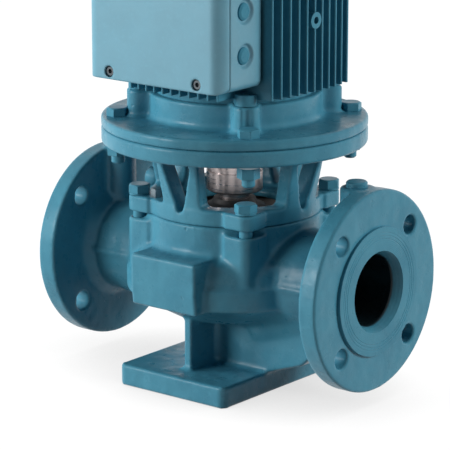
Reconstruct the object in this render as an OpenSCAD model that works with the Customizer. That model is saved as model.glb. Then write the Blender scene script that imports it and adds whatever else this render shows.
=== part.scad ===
// In-line circulation pump with a flange-mounted motor on an open lantern.
// The origin is the middle of the foot's underside; the motor axis is Z and the pipe axis runs along X.

/* [Pipe flanges] */
// Height of the pipe axis above the foot's underside
pipe_h = 108; // [105:1:116]
// Distance between the two flange faces
face_to_face = 330; // [322:1:345]
// Outer diameter of a pipe flange
flange_d = 185; // [180:1:190]
// Thickness of a pipe flange with its raised face
flange_t = 21.5; // [19:0.5:24]
// Diameter of the bolt circle
flange_pcd = 145; // [142:1:148]
// Diameter of a bolt hole in the suction flange
flange_hole_d = 18; // [14:0.5:19]
// How much wider the bolt holes of the discharge flange are
discharge_hole_extra = 0.5; // [0.4:0.1:1]
// Diameter of the raised sealing face
raised_face_d = 118; // [112:1:122]
// Height of the raised sealing face
raised_face_h = 3; // [1.5:0.5:4]
// Bore of the suction and discharge passages
pipe_bore_d = 65; // [60:1:66]
// Diameter of the flared mouth of a passage
mouth_d = 75; // [72:1:78]
// Depth of the flared mouth
mouth_depth = 10; // [6:0.5:12]
// Number of fine sealing grooves in the raised face
seal_grooves = 3; // [2:1:4]

/* [Foot and column] */
// Length of the foot plate along the pipe
foot_l = 125; // [118:1:135]
// Width of the foot plate across the pipe
foot_w = 188; // [176:1:200]
// Thickness of the foot plate
foot_t = 20; // [16:1:24]
// Corner radius of the foot plate
foot_r = 4; // [2:0.5:8]
// Width of the column across the pipe
column_w = 64; // [60:1:70]
// How far the column stands back from the suction end of the foot
column_inset = 1; // [0:0.5:4]
// How far the column reaches past the motor axis on the discharge side
column_back = 30; // [28:0.5:33]
// Rise of the underside from the foot to the elbow
elbow_rise = 14; // [10:0.5:20]
// Thickness of the ribs before and behind the column
rib_t = 8; // [6:0.5:12]
// How far the ribs stand back from the sides of the foot
rib_inset = 25; // [15:1:35]

/* [Volute casing] */
// Diameter of the widest band of the casing
band_d = 200; // [194:1:206]
// Height of that band
band_h = 20; // [18:1:24]
// How far the band's top lies below the pipe axis
band_drop = 1; // [0:0.5:4]
// Diameter of the casing wall above the band
wall_d = 192; // [189:1:193]
// Radius of the shoulder over the wall
shoulder_r = 18; // [14:1:20]
// Height of the shoulder's top above the band
shoulder_h = 25.5; // [23:0.5:30]
// Diameter of the ring that the lantern sits on
ring_d = 162; // [160:1:165]
// Height of that ring
ring_h = 28.5; // [24:0.5:34]
// Diameter of a neck where it meets its flange
neck_d = 86; // [82:1:92]
// Diameter of a neck where it meets the casing
neck_root_d = 102; // [96:1:112]
// How far a neck's axis drops on its way to the casing
neck_drop = 6; // [2:1:10]
// Width of the flat pad on the front
pad_w = 75; // [60:1:82]
// Height of the pad
pad_h = 48; // [40:1:52]
// Distance of the pad's face from the motor axis
pad_reach = 105; // [102:0.5:108]
// Diameter of the gauge boss on each neck
gauge_boss_d = 30; // [24:1:32]
// Height of the gauge bosses above the pipe axis
gauge_boss_h = 93; // [93:1:98]

/* [Lugs and lantern] */
// Width of a lug
lug_w = 27; // [24:1:32]
// Distance of a lug's outer sides from its bolt
lug_margin = 9.8; // [8:0.2:12]
// Radius of a lug's outer corner
lug_r = 10; // [6:1:14]
// Gap between a casing lug and a lantern lug
lug_gap = 6; // [4:0.5:8]
// How much wider the lug bolt circle is than the ring under the lantern
lug_spread = 14; // [13:0.5:18]
// Thickness of a lantern lug
lantern_lug_t = 15; // [14:0.5:20]
// Height of the lantern from the casing to the motor face
lantern_h = 79; // [74:1:90]
// Height of the lantern's closed foot ring
lantern_foot_h = 15; // [13:0.5:16]
// Thickness of the lantern's floor
lantern_floor_t = 7; // [5:0.5:9]
// Outer diameter of the legs under the motor flange
lantern_top_d = 180; // [172:1:184]
// Depth of a leg, measured from the outside inwards
leg_depth = 18; // [12:0.5:20]
// Half angle of a wide window between two legs
window_half_angle = 29; // [24:0.5:31]
// Half width of a narrow window at its top
slot_top_half_w = 16; // [12:0.5:17]
// Radius of a narrow window's round bottom
slot_bottom_r = 3.5; // [2.5:0.5:5]
// Diameter of the round motor flange and lantern flange
motor_flange_d = 245; // [240:1:252]
// Thickness of the lantern flange
lantern_flange_t = 15; // [12:0.5:18]
// Bolt circle of the motor flange
motor_pcd = 215; // [210:1:218]
// Diameter of the register between motor and lantern
register_d = 180; // [176:1:184]
// Height of that register
register_h = 4; // [3:0.5:5]

/* [Impeller and seal] */
// Diameter of the impeller
impeller_d = 124; // [116:1:128]
// Width of the impeller outlet
outlet_w = 9; // [7:0.5:10]
// Thickness of the impeller shrouds
shroud_t = 3.5; // [3:0.5:4]
// Number of impeller vanes
vane_count = 6; // [5:1:7]
// Thickness of a vane
vane_t = 3; // [2.5:0.5:4]
// Diameter of the impeller eye
eye_d = 60; // [54:1:62]
// Outer diameter of the collar round the eye
eye_collar_d = 72; // [68:1:74]
// Length of that collar
eye_collar_l = 9; // [7:0.5:10]
// Radial thickness of the wear ring
wear_ring_t = 4; // [3:0.5:5]
// Diameter of the shaft in the impeller
impeller_shaft_d = 20; // [18:1:22]
// Diameter of the shaft in the mechanical seal
seal_shaft_d = 28; // [26:1:30]
// Diameter of the hub that grips the motor shaft
hub_d = 52; // [46:1:54]
// Length of that hub
hub_l = 52; // [46:1:54]

/* [Motor] */
// Thickness of the motor flange
shield_flange_t = 10; // [9:0.5:13]
// Diameter of the drum above the motor flange
drum_d = 160; // [156:1:164]
// Height of the drum
drum_h = 23; // [21:1:28]
// Diameter of a pillar beside the drum
pillar_d = 24; // [20:1:26]
// Distance of the pillars from the motor axis
pillar_reach = 88; // [85:1:90]
// Length of the finned frame
frame_l = 182; // [170:1:210]
// Bore of the finned frame
frame_bore_d = 130; // [126:1:134]
// Outer diameter of the frame's core
frame_core_d = 148; // [144:1:152]
// Distance of the middle fins' tips from the motor axis
fin_reach = 91.7; // [88:0.1:94]
// Radius of the shallow arc that the fin tips lie on
fin_arc_r = 314; // [250:1:500]
// Pitch of the fins on the two sides along the pipe
side_fin_pitch = 11.1; // [10.5:0.1:11.3]
// Pitch of the fins on the front and back
front_fin_pitch = 10; // [9.5:0.1:10.4]
// Number of fins on each side
fin_count = 11; // [9:2:11]
// Thickness of a fin at its tip
fin_tip_t = 2.6; // [2:0.1:3.4]
// Height of the bare frame end below the fins
fin_setback = 7.5; // [6:0.5:10]
// Diameter of the motor shaft's drive end
motor_shaft_d = 28; // [26:1:28]
// Diameter of the rotor core
rotor_d = 83; // [79:1:86]
// Air gap between rotor and stator
air_gap = 0.5; // [0.4:0.1:0.8]
// Length of the stator and rotor cores
core_l = 128; // [118:1:132]
// Number of stator slots
slot_count = 24; // [18:6:24]
// Outer diameter of the fan cowl
cowl_d = 190; // [188:1:196]
// Height of the fan cowl
cowl_h = 72; // [68:1:80]
// Sheet thickness of the fan cowl
cowl_t = 1.6; // [1.2:0.1:2]
// Diameter of the fan
fan_d = 160; // [150:1:172]
// Number of fan blades
fan_blades = 9; // [7:1:11]

/* [Bearings] */
// Outer diameter of the front bearing
front_bearing_d = 62; // [60:1:64]
// Bore of the front bearing
front_bearing_bore = 30; // [29:0.5:31]
// Width of the front bearing
front_bearing_w = 16; // [14:0.5:17]
// Outer diameter of the rear bearing
rear_bearing_d = 52; // [50:1:54]
// Bore of the rear bearing
rear_bearing_bore = 25; // [24:0.5:26]
// Width of the rear bearing
rear_bearing_w = 15; // [13:0.5:16]
// Number of balls in a bearing
ball_count = 9; // [7:1:9]

/* [Terminal box] */
// Width of the terminal box
box_w = 154; // [148:1:158]
// Height of the terminal box
box_h = 100; // [94:1:108]
// Distance of the cover's face from the motor axis
box_reach = 117; // [115:0.5:122]
// Depth of the cover
cover_depth = 14; // [12:0.5:16]
// Gap between a flank of the box and the side fin next to it
flank_gap = 3.2; // [2:0.2:6]
// Gap between a flank of the box and the front fin beside it
tunnel_gap = 4.7; // [3:0.1:6]
// Wall thickness of the box and its cover
box_wall = 4; // [3:0.5:5]
// Radius of the upright edges of the cover
box_edge_r = 13; // [10:1:15]
// Radius of the corners of the cover seen from the front
box_corner_r = 7; // [5:0.5:10]
// Height of the box's lower edge above the motor flange
box_rise = 43; // [42:1:50]
// Distance between the two cable entries
entry_pitch = 39; // [36:1:42]
// Diameter of a cable entry's recess
entry_d = 22.5; // [20:0.5:24]

/* [Fasteners] */
// Thread diameter of the lug bolts and the flange bolts
bolt_d = 12; // [10:0.5:12]
// Width across the flats of their heads
bolt_af = 18; // [16:0.5:19]
// Height of their heads
bolt_head_h = 8; // [6:0.5:9]
// Thickness of their washers
washer_t = 1.6; // [1.4:0.1:3]
// How far the motor flange bolts reach below their nuts
bolt_end = 8; // [4:0.5:8]

/* [Hidden] */
$fn = 64;

// Clearances, named once for every fit of their kind
bolt_clearance = 0.5;
thread_clearance = 0.1;
slide_clearance = 0.3;
running_clearance = 0.3;
ball_clearance = 0.15;
lip_clearance = 0.08;
eps = 0.01;

// Heights from the foot up to the motor face
band_top = pipe_h - band_drop;
band_bottom = band_top - band_h;
shoulder_top = band_top + shoulder_h;
joint_h = shoulder_top + ring_h;
casing_lug_top = joint_h - lug_gap;
lantern_lug_top = joint_h + lantern_lug_t;
lantern_foot_top = joint_h + lantern_foot_h;
motor_face = joint_h + lantern_h;
lantern_flange_bottom = motor_face - lantern_flange_t;

// Heights of the impeller and its chamber
impeller_mid = band_bottom + band_h / 2;
side_gap = 1;
chamber_bottom = impeller_mid - outlet_w / 2 - shroud_t - side_gap;
chamber_top = impeller_mid + outlet_w / 2 + shroud_t + side_gap;
vane_bottom = impeller_mid - outlet_w / 2;
wear_seat_floor = chamber_bottom - eye_collar_l;
impeller_hub_top = chamber_top + 6;
impeller_hub_bottom = vane_bottom;

// Seal cover
cover_spigot_d = ring_d - 18;
cover_flange_d = ring_d - 10;
cover_flange_t = 5;
gasket_t = 1;
cover_seat = joint_h - cover_flange_t - gasket_t;
cover_wall = 8;
cover_floor_t = 8;
seal_chamber_d = 48;
seal_boss_d = 64;
seal_boss_h = 52;
seat_pocket_d = 42;
seat_pocket_l = 10;
seat_od = 38;
seal_boss_top = chamber_top + seal_boss_h;
seat_pocket_floor = seal_boss_top - 6;
seat_pocket_mouth = seat_pocket_floor - seat_pocket_l;
seat_face = seat_pocket_mouth - 1;

// Heights of the motor
flange_top = motor_face + shield_flange_t;
frame_bottom = flange_top + drum_h;
frame_top = frame_bottom + frame_l;
fin_bottom = frame_bottom + fin_setback;
core_mid = frame_bottom + frame_l / 2 - 4;
core_bottom = core_mid - core_l / 2;
core_top = core_mid + core_l / 2;
shaft_end = motor_face - 56;
hub_bottom = shaft_end - 6;
hub_top = hub_bottom + hub_l;
rear_flange_t = 3;
rear_shield_t = 11;
rear_seat_top = frame_top + rear_shield_t;
rear_spigot_l = 8;
cowl_bottom = frame_top + rear_flange_t + slide_clearance;
cowl_top = frame_top + rear_flange_t + cowl_h;
fan_bottom = rear_seat_top + 6;
fan_h = 26;
fan_top = fan_bottom + fan_h;
shaft_top = fan_top + 5;

// Bearings
front_bearing_bottom = flange_top;
front_bearing_top = front_bearing_bottom + front_bearing_w;
rear_wall = 4;
spring_space = 5;
rear_bearing_top = rear_seat_top - rear_wall - spring_space;
rear_bearing_bottom = rear_bearing_top - rear_bearing_w;
front_pitch_r = (front_bearing_d + front_bearing_bore) / 4;
rear_pitch_r = (rear_bearing_d + rear_bearing_bore) / 4;
ball_share = 0.585;
front_ball_r = ball_share * (front_bearing_d - front_bearing_bore) / 4;
rear_ball_r = ball_share * (rear_bearing_d - rear_bearing_bore) / 4;
race_share = 0.42;
hub_wall = 9;
circlip_t = 1.6;
lip_seal_d = 45;
lip_seal_h = 8;
shaft_shoulder_d = 38;
fan_shaft_d = 20;

// Fasteners
lug_pcd = ring_d + lug_spread;
lug_half = lug_pcd / 2 * cos(45) + lug_margin;
m4_d = 4;
m5_d = 5;
m6_d = 6;
m8_d = 8;
gauge_thread_d = 13;
gauge_depth = 22;
gauge_plug_d = 19.5;
gauge_plug_h = 2.5;
jack_angle = 54.4;
jack_reach = ring_d / 2 - leg_depth * 0.4;
jack_d = 8;
jack_af = 10;
cowl_screw_h = frame_top + rear_flange_t + 5;

// Terminal box
box_bottom = flange_top + box_rise;
earth_rise = 2.6;
box_mid = box_bottom + box_h / 2;
seam_reach = box_reach - cover_depth;
seam_gap = 1;
frame_pad_reach = 80;
frame_pad_w = 92;
half_fin_count = (fin_count - 1) / 2;
flank_reach = side_fin_pitch * half_fin_count + fin_tip_t / 2 + flank_gap;
tunnel_half_w = front_fin_pitch * half_fin_count + fin_tip_t / 2 + tunnel_gap;
entry_reach = 82;
cover_screw_x = 50;
cover_screw_inset = 7;
board_w = 66;
board_h = 44;
board_t = 8;
stud_pitch_x = 19;
stud_pitch_z = 18;

// Building shapes
module rounded_square(l, w, r) {
    square([l - 2 * r, w], center = true);
    square([l, w - 2 * r], center = true);
    for (x = [-1, 1], y = [-1, 1])
        translate([x * (l / 2 - r), y * (w / 2 - r)])
            circle(r);
}

module ring(outer_d, inner_d, h) {
    difference() {
        cylinder(d = outer_d, h = h);
        translate([0, 0, -1])
            cylinder(d = inner_d, h = h + 2);
    }
}

module at_corners(reach) {
    for (i = [0 : 3])
        rotate(45 + 90 * i)
            translate([reach, 0, 0])
                children();
}

module each_end() {
    children();
    rotate(180)
        children();
}

module hex(af, h) {
    cylinder(d = af / cos(30), h = h, $fn = 6);
}

module chamfered_hex(af, h) {
    chamfer = af * 0.09;
    intersection() {
        hex(af, h);
        union() {
            cylinder(d = af * 1.2, h = h - chamfer);
            translate([0, 0, h - chamfer - eps])
                cylinder(d1 = af * 1.2, d2 = af * 0.92, h = chamfer + eps);
        }
    }
}

module hex_bolt(d, af, head_h, l) {
    tip = d * 0.12;
    chamfered_hex(af, head_h);
    translate([0, 0, -l]) {
        cylinder(d1 = d - 2 * tip, d2 = d, h = tip);
        translate([0, 0, tip - eps])
            cylinder(d = d, h = l - tip + 2 * eps);
    }
}

module socket_screw(d, head_d, head_h, l, key) {
    difference() {
        union() {
            cylinder(d = head_d, h = head_h);
            translate([0, 0, -l])
                cylinder(d = d, h = l + eps);
        }
        translate([0, 0, head_h * 0.4])
            hex(key, head_h);
    }
}

// Radius of the volute chamber at an angle, growing evenly from the tongue round to the outlet
volute_start_r = impeller_d / 2 + 6;
volute_end_r = band_d / 2 - 10;
volute_steps = 48;
function volute_r(a) = volute_start_r + (volute_end_r - volute_start_r) * a / 360;

module volute_outline() {
    polygon([for (i = [0 : volute_steps]) let (a = 360 * i / volute_steps)
        volute_r(a) * [cos(a), sin(a)]]);
}

// Casing
module pipe_flange() {
    translate([face_to_face / 2, 0, pipe_h])
        rotate([0, -90, 0]) {
            cylinder(d = raised_face_d, h = raised_face_h + eps);
            translate([0, 0, raised_face_h])
                cylinder(d1 = flange_d - 2, d2 = flange_d, h = 1);
            translate([0, 0, raised_face_h + 1 - eps])
                cylinder(d = flange_d, h = flange_t - raised_face_h - 2 + 2 * eps);
            translate([0, 0, flange_t - 1])
                cylinder(d1 = flange_d, d2 = flange_d - 2, h = 1);
            translate([0, 0, flange_t - eps])
                cylinder(d1 = neck_d + 20, d2 = neck_d + 2, h = 9);
        }
}

module pipe_flange_cuts(hole_d) {
    translate([face_to_face / 2, 0, pipe_h])
        rotate([0, -90, 0]) {
            translate([0, 0, -1])
                cylinder(d = pipe_bore_d, h = straight_bore_l + 1);
            translate([0, 0, -eps])
                cylinder(d1 = mouth_d, d2 = pipe_bore_d, h = mouth_depth);
            at_corners(flange_pcd / 2)
                translate([0, 0, -1])
                    cylinder(d = hole_d, h = flange_t + 12);
            for (i = [1 : seal_grooves])
                translate([0, 0, -eps])
                    ring(mouth_d + i * groove_pitch + groove_w, mouth_d + i * groove_pitch - groove_w, 0.6);
        }
}

straight_bore_l = 45;
groove_w = 0.8;
groove_pitch = (raised_face_d - mouth_d) / (seal_grooves + 1);
neck_root_x = 55;
neck_l = face_to_face / 2 - flange_t - neck_root_x;
elbow_end_x = 45;
elbow_end_h = foot_t + column_w / 2 + 6;
duct_w = column_w - 16;
duct_bottom = foot_t + 18;
duct_top = chamber_bottom - 12;
duct_x = 75;
duct_start = face_to_face / 2 - straight_bore_l;
gauge_x = face_to_face / 2 - flange_t - 4.5;

module neck() {
    translate([face_to_face / 2 - flange_t, 0, pipe_h])
        rotate([0, -90 - atan(neck_drop / neck_l), 0])
            cylinder(d1 = neck_d, d2 = neck_root_d, h = norm([neck_l, neck_drop]));
    // Parting line left by the mould
    translate([neck_root_x, 0, pipe_h])
        linear_extrude(2.4, center = true)
            polygon([[0, neck_root_d / 2], [neck_l, neck_d / 2 + 3],
                [neck_l, -neck_d / 2 - 3], [0, -neck_root_d / 2]]);
}

module gauge_boss() {
    translate([gauge_x, 0, pipe_h + pipe_bore_d / 2 + 3])
        cylinder(d = gauge_boss_d, h = gauge_boss_h - pipe_bore_d / 2 - 3);
}

module gauge_bore() {
    translate([gauge_x, 0, pipe_h + gauge_boss_h - gauge_depth])
        cylinder(d = gauge_thread_d + 2 * thread_clearance, h = gauge_depth + 1);
    translate([gauge_x, 0, pipe_h])
        cylinder(d = 5, h = gauge_boss_h - gauge_depth + eps);
}

module column() {
    half = foot_l / 2 - column_inset;
    flange_x = face_to_face / 2 - flange_t;
    neck_bottom = pipe_h - neck_d / 2;
    translate([0, column_w / 2, 0])
        rotate([90, 0, 0])
            linear_extrude(column_w)
                polygon([[-column_back, foot_t - 1], [half, foot_t - 1], [half, foot_t],
                    [(half + flange_x) / 2, foot_t + elbow_rise], [flange_x - 12, neck_bottom - 4],
                    [flange_x, neck_bottom + 4], [flange_x, pipe_h], [-column_back, pipe_h]]);
    rib_reach = foot_w / 2 - rib_inset;
    translate([-rib_t / 2, -rib_reach, foot_t - 1])
        cube([rib_t, 2 * rib_reach, band_bottom - foot_t + 3]);
}

// Elbow from the suction flange down into the column
module elbow() {
    run = gauge_x - elbow_end_x;
    drop = pipe_h - elbow_end_h;
    translate([gauge_x, 0, pipe_h])
        rotate([0, -90 - atan(drop / run), 0])
            cylinder(d1 = neck_d, d2 = column_w + 4, h = norm([run, drop]));
}

module volute_body() {
    band_r = band_d / 2;
    rotate_extrude($fn = 128) {
        polygon([[0, band_bottom - 22], [belly_r, band_bottom - 22], [band_r - 6, band_bottom - 3],
            [band_r - 1, band_bottom], [band_r, band_bottom + 1], [band_r, band_top - 1],
            [band_r - 1, band_top], [wall_d / 2, band_top], [wall_d / 2, shoulder_top - shoulder_r],
            [wall_d / 2 - shoulder_r, shoulder_top], [ring_d / 2, shoulder_top],
            [ring_d / 2, joint_h], [0, joint_h]]);
        translate([wall_d / 2 - shoulder_r, shoulder_top - shoulder_r])
            circle(shoulder_r);
    }
    translate([0, 0, band_bottom + 2])
        linear_extrude(casing_lug_top - band_bottom - 2)
            lug_outlines();
}

module lug_outlines() {
    lug_mid = lug_half - lug_w / 2;
    intersection() {
        rounded_square(2 * lug_half, 2 * lug_half, lug_r);
        for (x = [-1, 1], y = [-1, 1])
            translate([x * lug_mid, y * lug_mid])
                square(lug_w, center = true);
    }
}

module pad() {
    pad_bottom = shoulder_top - pad_h;
    translate([pad_w / 2, 0, pad_bottom])
        rotate([90, 0, -90])
            linear_extrude(pad_w)
                polygon([[belly_r, 0], [pad_reach - pad_draft, 0], [pad_reach, pad_h * 0.4],
                    [pad_reach, pad_h - 1], [pad_reach - 1, pad_h], [belly_r, pad_h]]);
}

module volute_passages() {
    pipe_flange_cuts(flange_hole_d);
    rotate(180)
        pipe_flange_cuts(flange_hole_d + discharge_hole_extra);
    // Chamber round the impeller, a spiral that widens towards the discharge
    rotate(180) {
        translate([0, 0, chamber_bottom])
            linear_extrude(chamber_top - chamber_bottom)
                volute_outline();
        hull() {
            translate([duct_start, 0, pipe_h])
                rotate([0, 90, 0])
                    cylinder(d = pipe_bore_d, h = 0.2, $fn = 32);
            translate([duct_x, -duct_w / 2, chamber_bottom])
                cube([1, duct_w, chamber_top - chamber_bottom]);
        }
    }
    // Suction side, which dips under the chamber and rises into the eye
    hull() {
        translate([duct_start, 0, pipe_h])
            rotate([0, 90, 0])
                cylinder(d = pipe_bore_d, h = 0.2, $fn = 32);
        translate([duct_x, -duct_w / 2, duct_bottom])
            cube([1, duct_w, duct_top - duct_bottom]);
    }
    translate([0, -duct_w / 2, duct_bottom])
        cube([duct_x + 0.5, duct_w, duct_top - duct_bottom]);
    translate([0, 0, duct_bottom])
        cylinder(d = duct_w, h = duct_top - duct_bottom);
    translate([0, 0, duct_top - 10])
        cylinder(d1 = duct_w, d2 = eye_d, h = wear_seat_floor - duct_top + 10 + eps);
    translate([0, 0, wear_seat_floor])
        cylinder(d = wear_ring_d, h = chamber_bottom - wear_seat_floor + eps);
    translate([0, 0, chamber_top - 1])
        cylinder(d = cover_spigot_d, h = joint_h - chamber_top + 2, $fn = 128);
    translate([0, 0, cover_seat])
        cylinder(d = cover_flange_d, h = joint_h - cover_seat + 1, $fn = 128);
}

wear_ring_d = eye_collar_d + 2 * running_clearance + 2 * wear_ring_t;

module pump_casing() color("cadetblue") {
    difference() {
        union() {
            translate([0, 0, 1])
                linear_extrude(foot_t - 2)
                    rounded_square(foot_l, foot_w, foot_r);
            linear_extrude(foot_t)
                rounded_square(foot_l - 2, foot_w - 2, foot_r - 1);
            column();
            elbow();
            volute_body();
            pad();
            each_end() {
                neck();
                pipe_flange();
                gauge_boss();
            }
        }
        volute_passages();
        each_end()
            gauge_bore();
        at_corners(lug_pcd / 2)
            translate([0, 0, casing_lug_top - bolt_depth - 4])
                cylinder(d = bolt_d + 2 * thread_clearance, h = bolt_depth + 5);
    }
}

bolt_depth = 20;
pad_draft = 2;
belly_r = band_d * 0.3;

module wear_ring() color("darkgoldenrod") {
    translate([0, 0, wear_seat_floor])
        ring(wear_ring_d, eye_collar_d + 2 * running_clearance, chamber_bottom - wear_seat_floor);
}

module casing_gasket() color("darkslategray") {
    translate([0, 0, cover_seat])
        ring(cover_flange_d - 0.4, cover_spigot_d, gasket_t);
}

module gauge_plugs() color("cadetblue") {
    each_end()
        translate([gauge_x, 0, pipe_h + gauge_boss_h + gauge_ring_t]) {
            cylinder(d = gauge_plug_d, h = gauge_plug_h);
            translate([0, 0, gauge_plug_h - eps])
                cylinder(d1 = gauge_plug_d, d2 = gauge_plug_d * 0.87, h = gauge_plug_h / 2);
            translate([0, 0, -gauge_thread_d])
                cylinder(d = gauge_thread_d, h = gauge_thread_d + eps);
        }
}

gauge_ring_t = 1.5;

module gauge_plug_rings() color("darkgoldenrod") {
    each_end()
        translate([gauge_x, 0, pipe_h + gauge_boss_h])
            ring(gauge_plug_d + 0.5, gauge_thread_d + 0.4, gauge_ring_t);
}

// Seal cover, a dish that closes the casing and holds the seat of the shaft seal
module seal_cover() color("gray") {
    spigot_r = cover_spigot_d / 2 - slide_clearance;
    flange_r = cover_flange_d / 2 - 0.2;
    seat_z = cover_seat + gasket_t;
    rotate_extrude($fn = 128)
        polygon([[seal_chamber_d / 2, chamber_top], [spigot_r, chamber_top], [spigot_r, seat_z],
            [flange_r, seat_z], [flange_r, joint_h], [spigot_r - cover_wall, joint_h],
            [spigot_r - cover_wall, chamber_top + cover_floor_t],
            [seal_boss_d / 2, chamber_top + cover_floor_t], [seal_boss_d / 2, seal_boss_top - 4],
            [seal_boss_d / 2 - 4, seal_boss_top], [seal_shaft_d / 2 + 2, seal_boss_top],
            [seal_shaft_d / 2 + 2, seat_pocket_floor], [seat_pocket_d / 2, seat_pocket_floor],
            [seat_pocket_d / 2, seat_pocket_mouth], [seal_chamber_d / 2, seat_pocket_mouth]]);
}

module seat_cup() color("black") {
    inner = seal_shaft_d / 2 + 2;
    rotate_extrude()
        polygon([[seat_od / 2, seat_pocket_mouth], [seat_pocket_d / 2, seat_pocket_mouth],
            [seat_pocket_d / 2, seat_pocket_floor], [inner, seat_pocket_floor],
            [inner, seat_pocket_floor - 1.5], [seat_od / 2, seat_pocket_floor - 1.5]]);
}

module seal_seat() color("whitesmoke") {
    translate([0, 0, seat_face])
        ring(seat_od, seal_shaft_d + 2.5, seat_pocket_floor - 1.5 - seat_face);
}

// Lantern, an open bell with four wide windows over the lugs and four narrow ones between them
module lantern_shell() {
    foot_r = ring_d / 2;
    leg_r = foot_r - 1;
    top_r = lantern_top_d / 2;
    flange_r = motor_flange_d / 2;
    rotate_extrude($fn = 128)
        polygon([[45, joint_h], [foot_r, joint_h], [foot_r, lantern_foot_top - 1],
            [leg_r, lantern_foot_top], [top_r, lantern_flange_bottom],
            [flange_r - 1, lantern_flange_bottom], [flange_r, lantern_flange_bottom + 1],
            [flange_r, motor_face - 0.8], [flange_r - 0.8, motor_face], [register_d / 2, motor_face],
            [register_d / 2, motor_face - register_h - 0.5],
            [top_r - leg_depth + 2, motor_face - register_h - 0.5],
            [top_r - leg_depth, lantern_flange_bottom], [leg_r - leg_depth, lantern_foot_top],
            [leg_r - leg_depth, joint_h + lantern_floor_t], [45, joint_h + lantern_floor_t]]);
}

module wide_window() {
    reach = motor_flange_d;
    translate([0, 0, lantern_foot_top])
        linear_extrude(lantern_flange_bottom - lantern_foot_top)
            polygon([[0, 0], reach * [cos(window_half_angle), sin(window_half_angle)],
                reach * [cos(window_half_angle), -sin(window_half_angle)]]);
}

module narrow_window() {
    bottom = joint_h + 13;
    top = lantern_flange_bottom - 6;
    translate([ring_d / 2 - leg_depth - 10, 0, 0])
        rotate([90, 0, 90])
            linear_extrude(leg_depth + 25) {
                translate([0, bottom])
                    circle(slot_bottom_r);
                polygon([[-slot_bottom_r, bottom], [slot_bottom_r, bottom],
                    [slot_top_half_w, top - 4], [slot_top_half_w - 4, top],
                    [4 - slot_top_half_w, top], [-slot_top_half_w, top - 4]]);
            }
}

module lantern() color("cadetblue") {
    difference() {
        union() {
            difference() {
                lantern_shell();
                for (i = [0 : 3])
                    rotate(45 + 90 * i)
                        wide_window();
            }
            translate([0, 0, joint_h])
                linear_extrude(lantern_lug_t)
                    difference() {
                        lug_outlines();
                        circle(ring_d / 2 - leg_depth);
                    }
        }
        for (i = [0 : 3])
            rotate(90 * i)
                narrow_window();
        at_corners(lug_pcd / 2)
            translate([0, 0, joint_h - 1])
                cylinder(d = bolt_d + 2 * bolt_clearance, h = lantern_lug_t + 2);
        at_corners(motor_pcd / 2)
            translate([0, 0, lantern_flange_bottom - 1])
                cylinder(d = bolt_d + 2 * bolt_clearance, h = lantern_flange_t + 2);
        each_end()
            rotate(jack_angle)
                translate([jack_reach, 0, joint_h - 1])
                    cylinder(d = jack_d + 2 * thread_clearance, h = lantern_foot_h + 2);
    }
}

module jacking_screws() color("silver") {
    each_end()
        rotate(jack_angle)
            translate([jack_reach, 0, lantern_foot_top])
                hex_bolt(jack_d, jack_af, jack_d, lantern_foot_h);
}

module lug_bolts() color("dimgray") {
    at_corners(lug_pcd / 2)
        translate([0, 0, lantern_lug_top + washer_t])
            rotate(15)
                hex_bolt(bolt_d, bolt_af, bolt_head_h, lantern_lug_t + washer_t + lug_gap + bolt_depth);
}

module lug_washers() color("silver") {
    at_corners(lug_pcd / 2)
        translate([0, 0, lantern_lug_top])
            ring(bolt_af + 1, bolt_d + 2 * bolt_clearance, washer_t);
}

module flange_bolts() color("cadetblue") {
    at_corners(motor_pcd / 2)
        translate([0, 0, flange_top])
            rotate(5)
                hex_bolt(bolt_d, bolt_af, bolt_head_h,
                    shield_flange_t + lantern_flange_t + washer_t + nut_h + bolt_end);
}

nut_h = 10;

module flange_washers() color("silver") {
    at_corners(motor_pcd / 2)
        translate([0, 0, lantern_flange_bottom - washer_t])
            ring(bolt_af + 3, bolt_d + 2 * bolt_clearance, washer_t);
}

module flange_nuts() color("cadetblue") {
    at_corners(motor_pcd / 2)
        translate([0, 0, lantern_flange_bottom - washer_t - nut_h])
            rotate(20)
                difference() {
                    chamfered_hex(bolt_af, nut_h);
                    translate([0, 0, -1])
                        cylinder(d = bolt_d + 2 * thread_clearance, h = nut_h + 2);
                }
}

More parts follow.
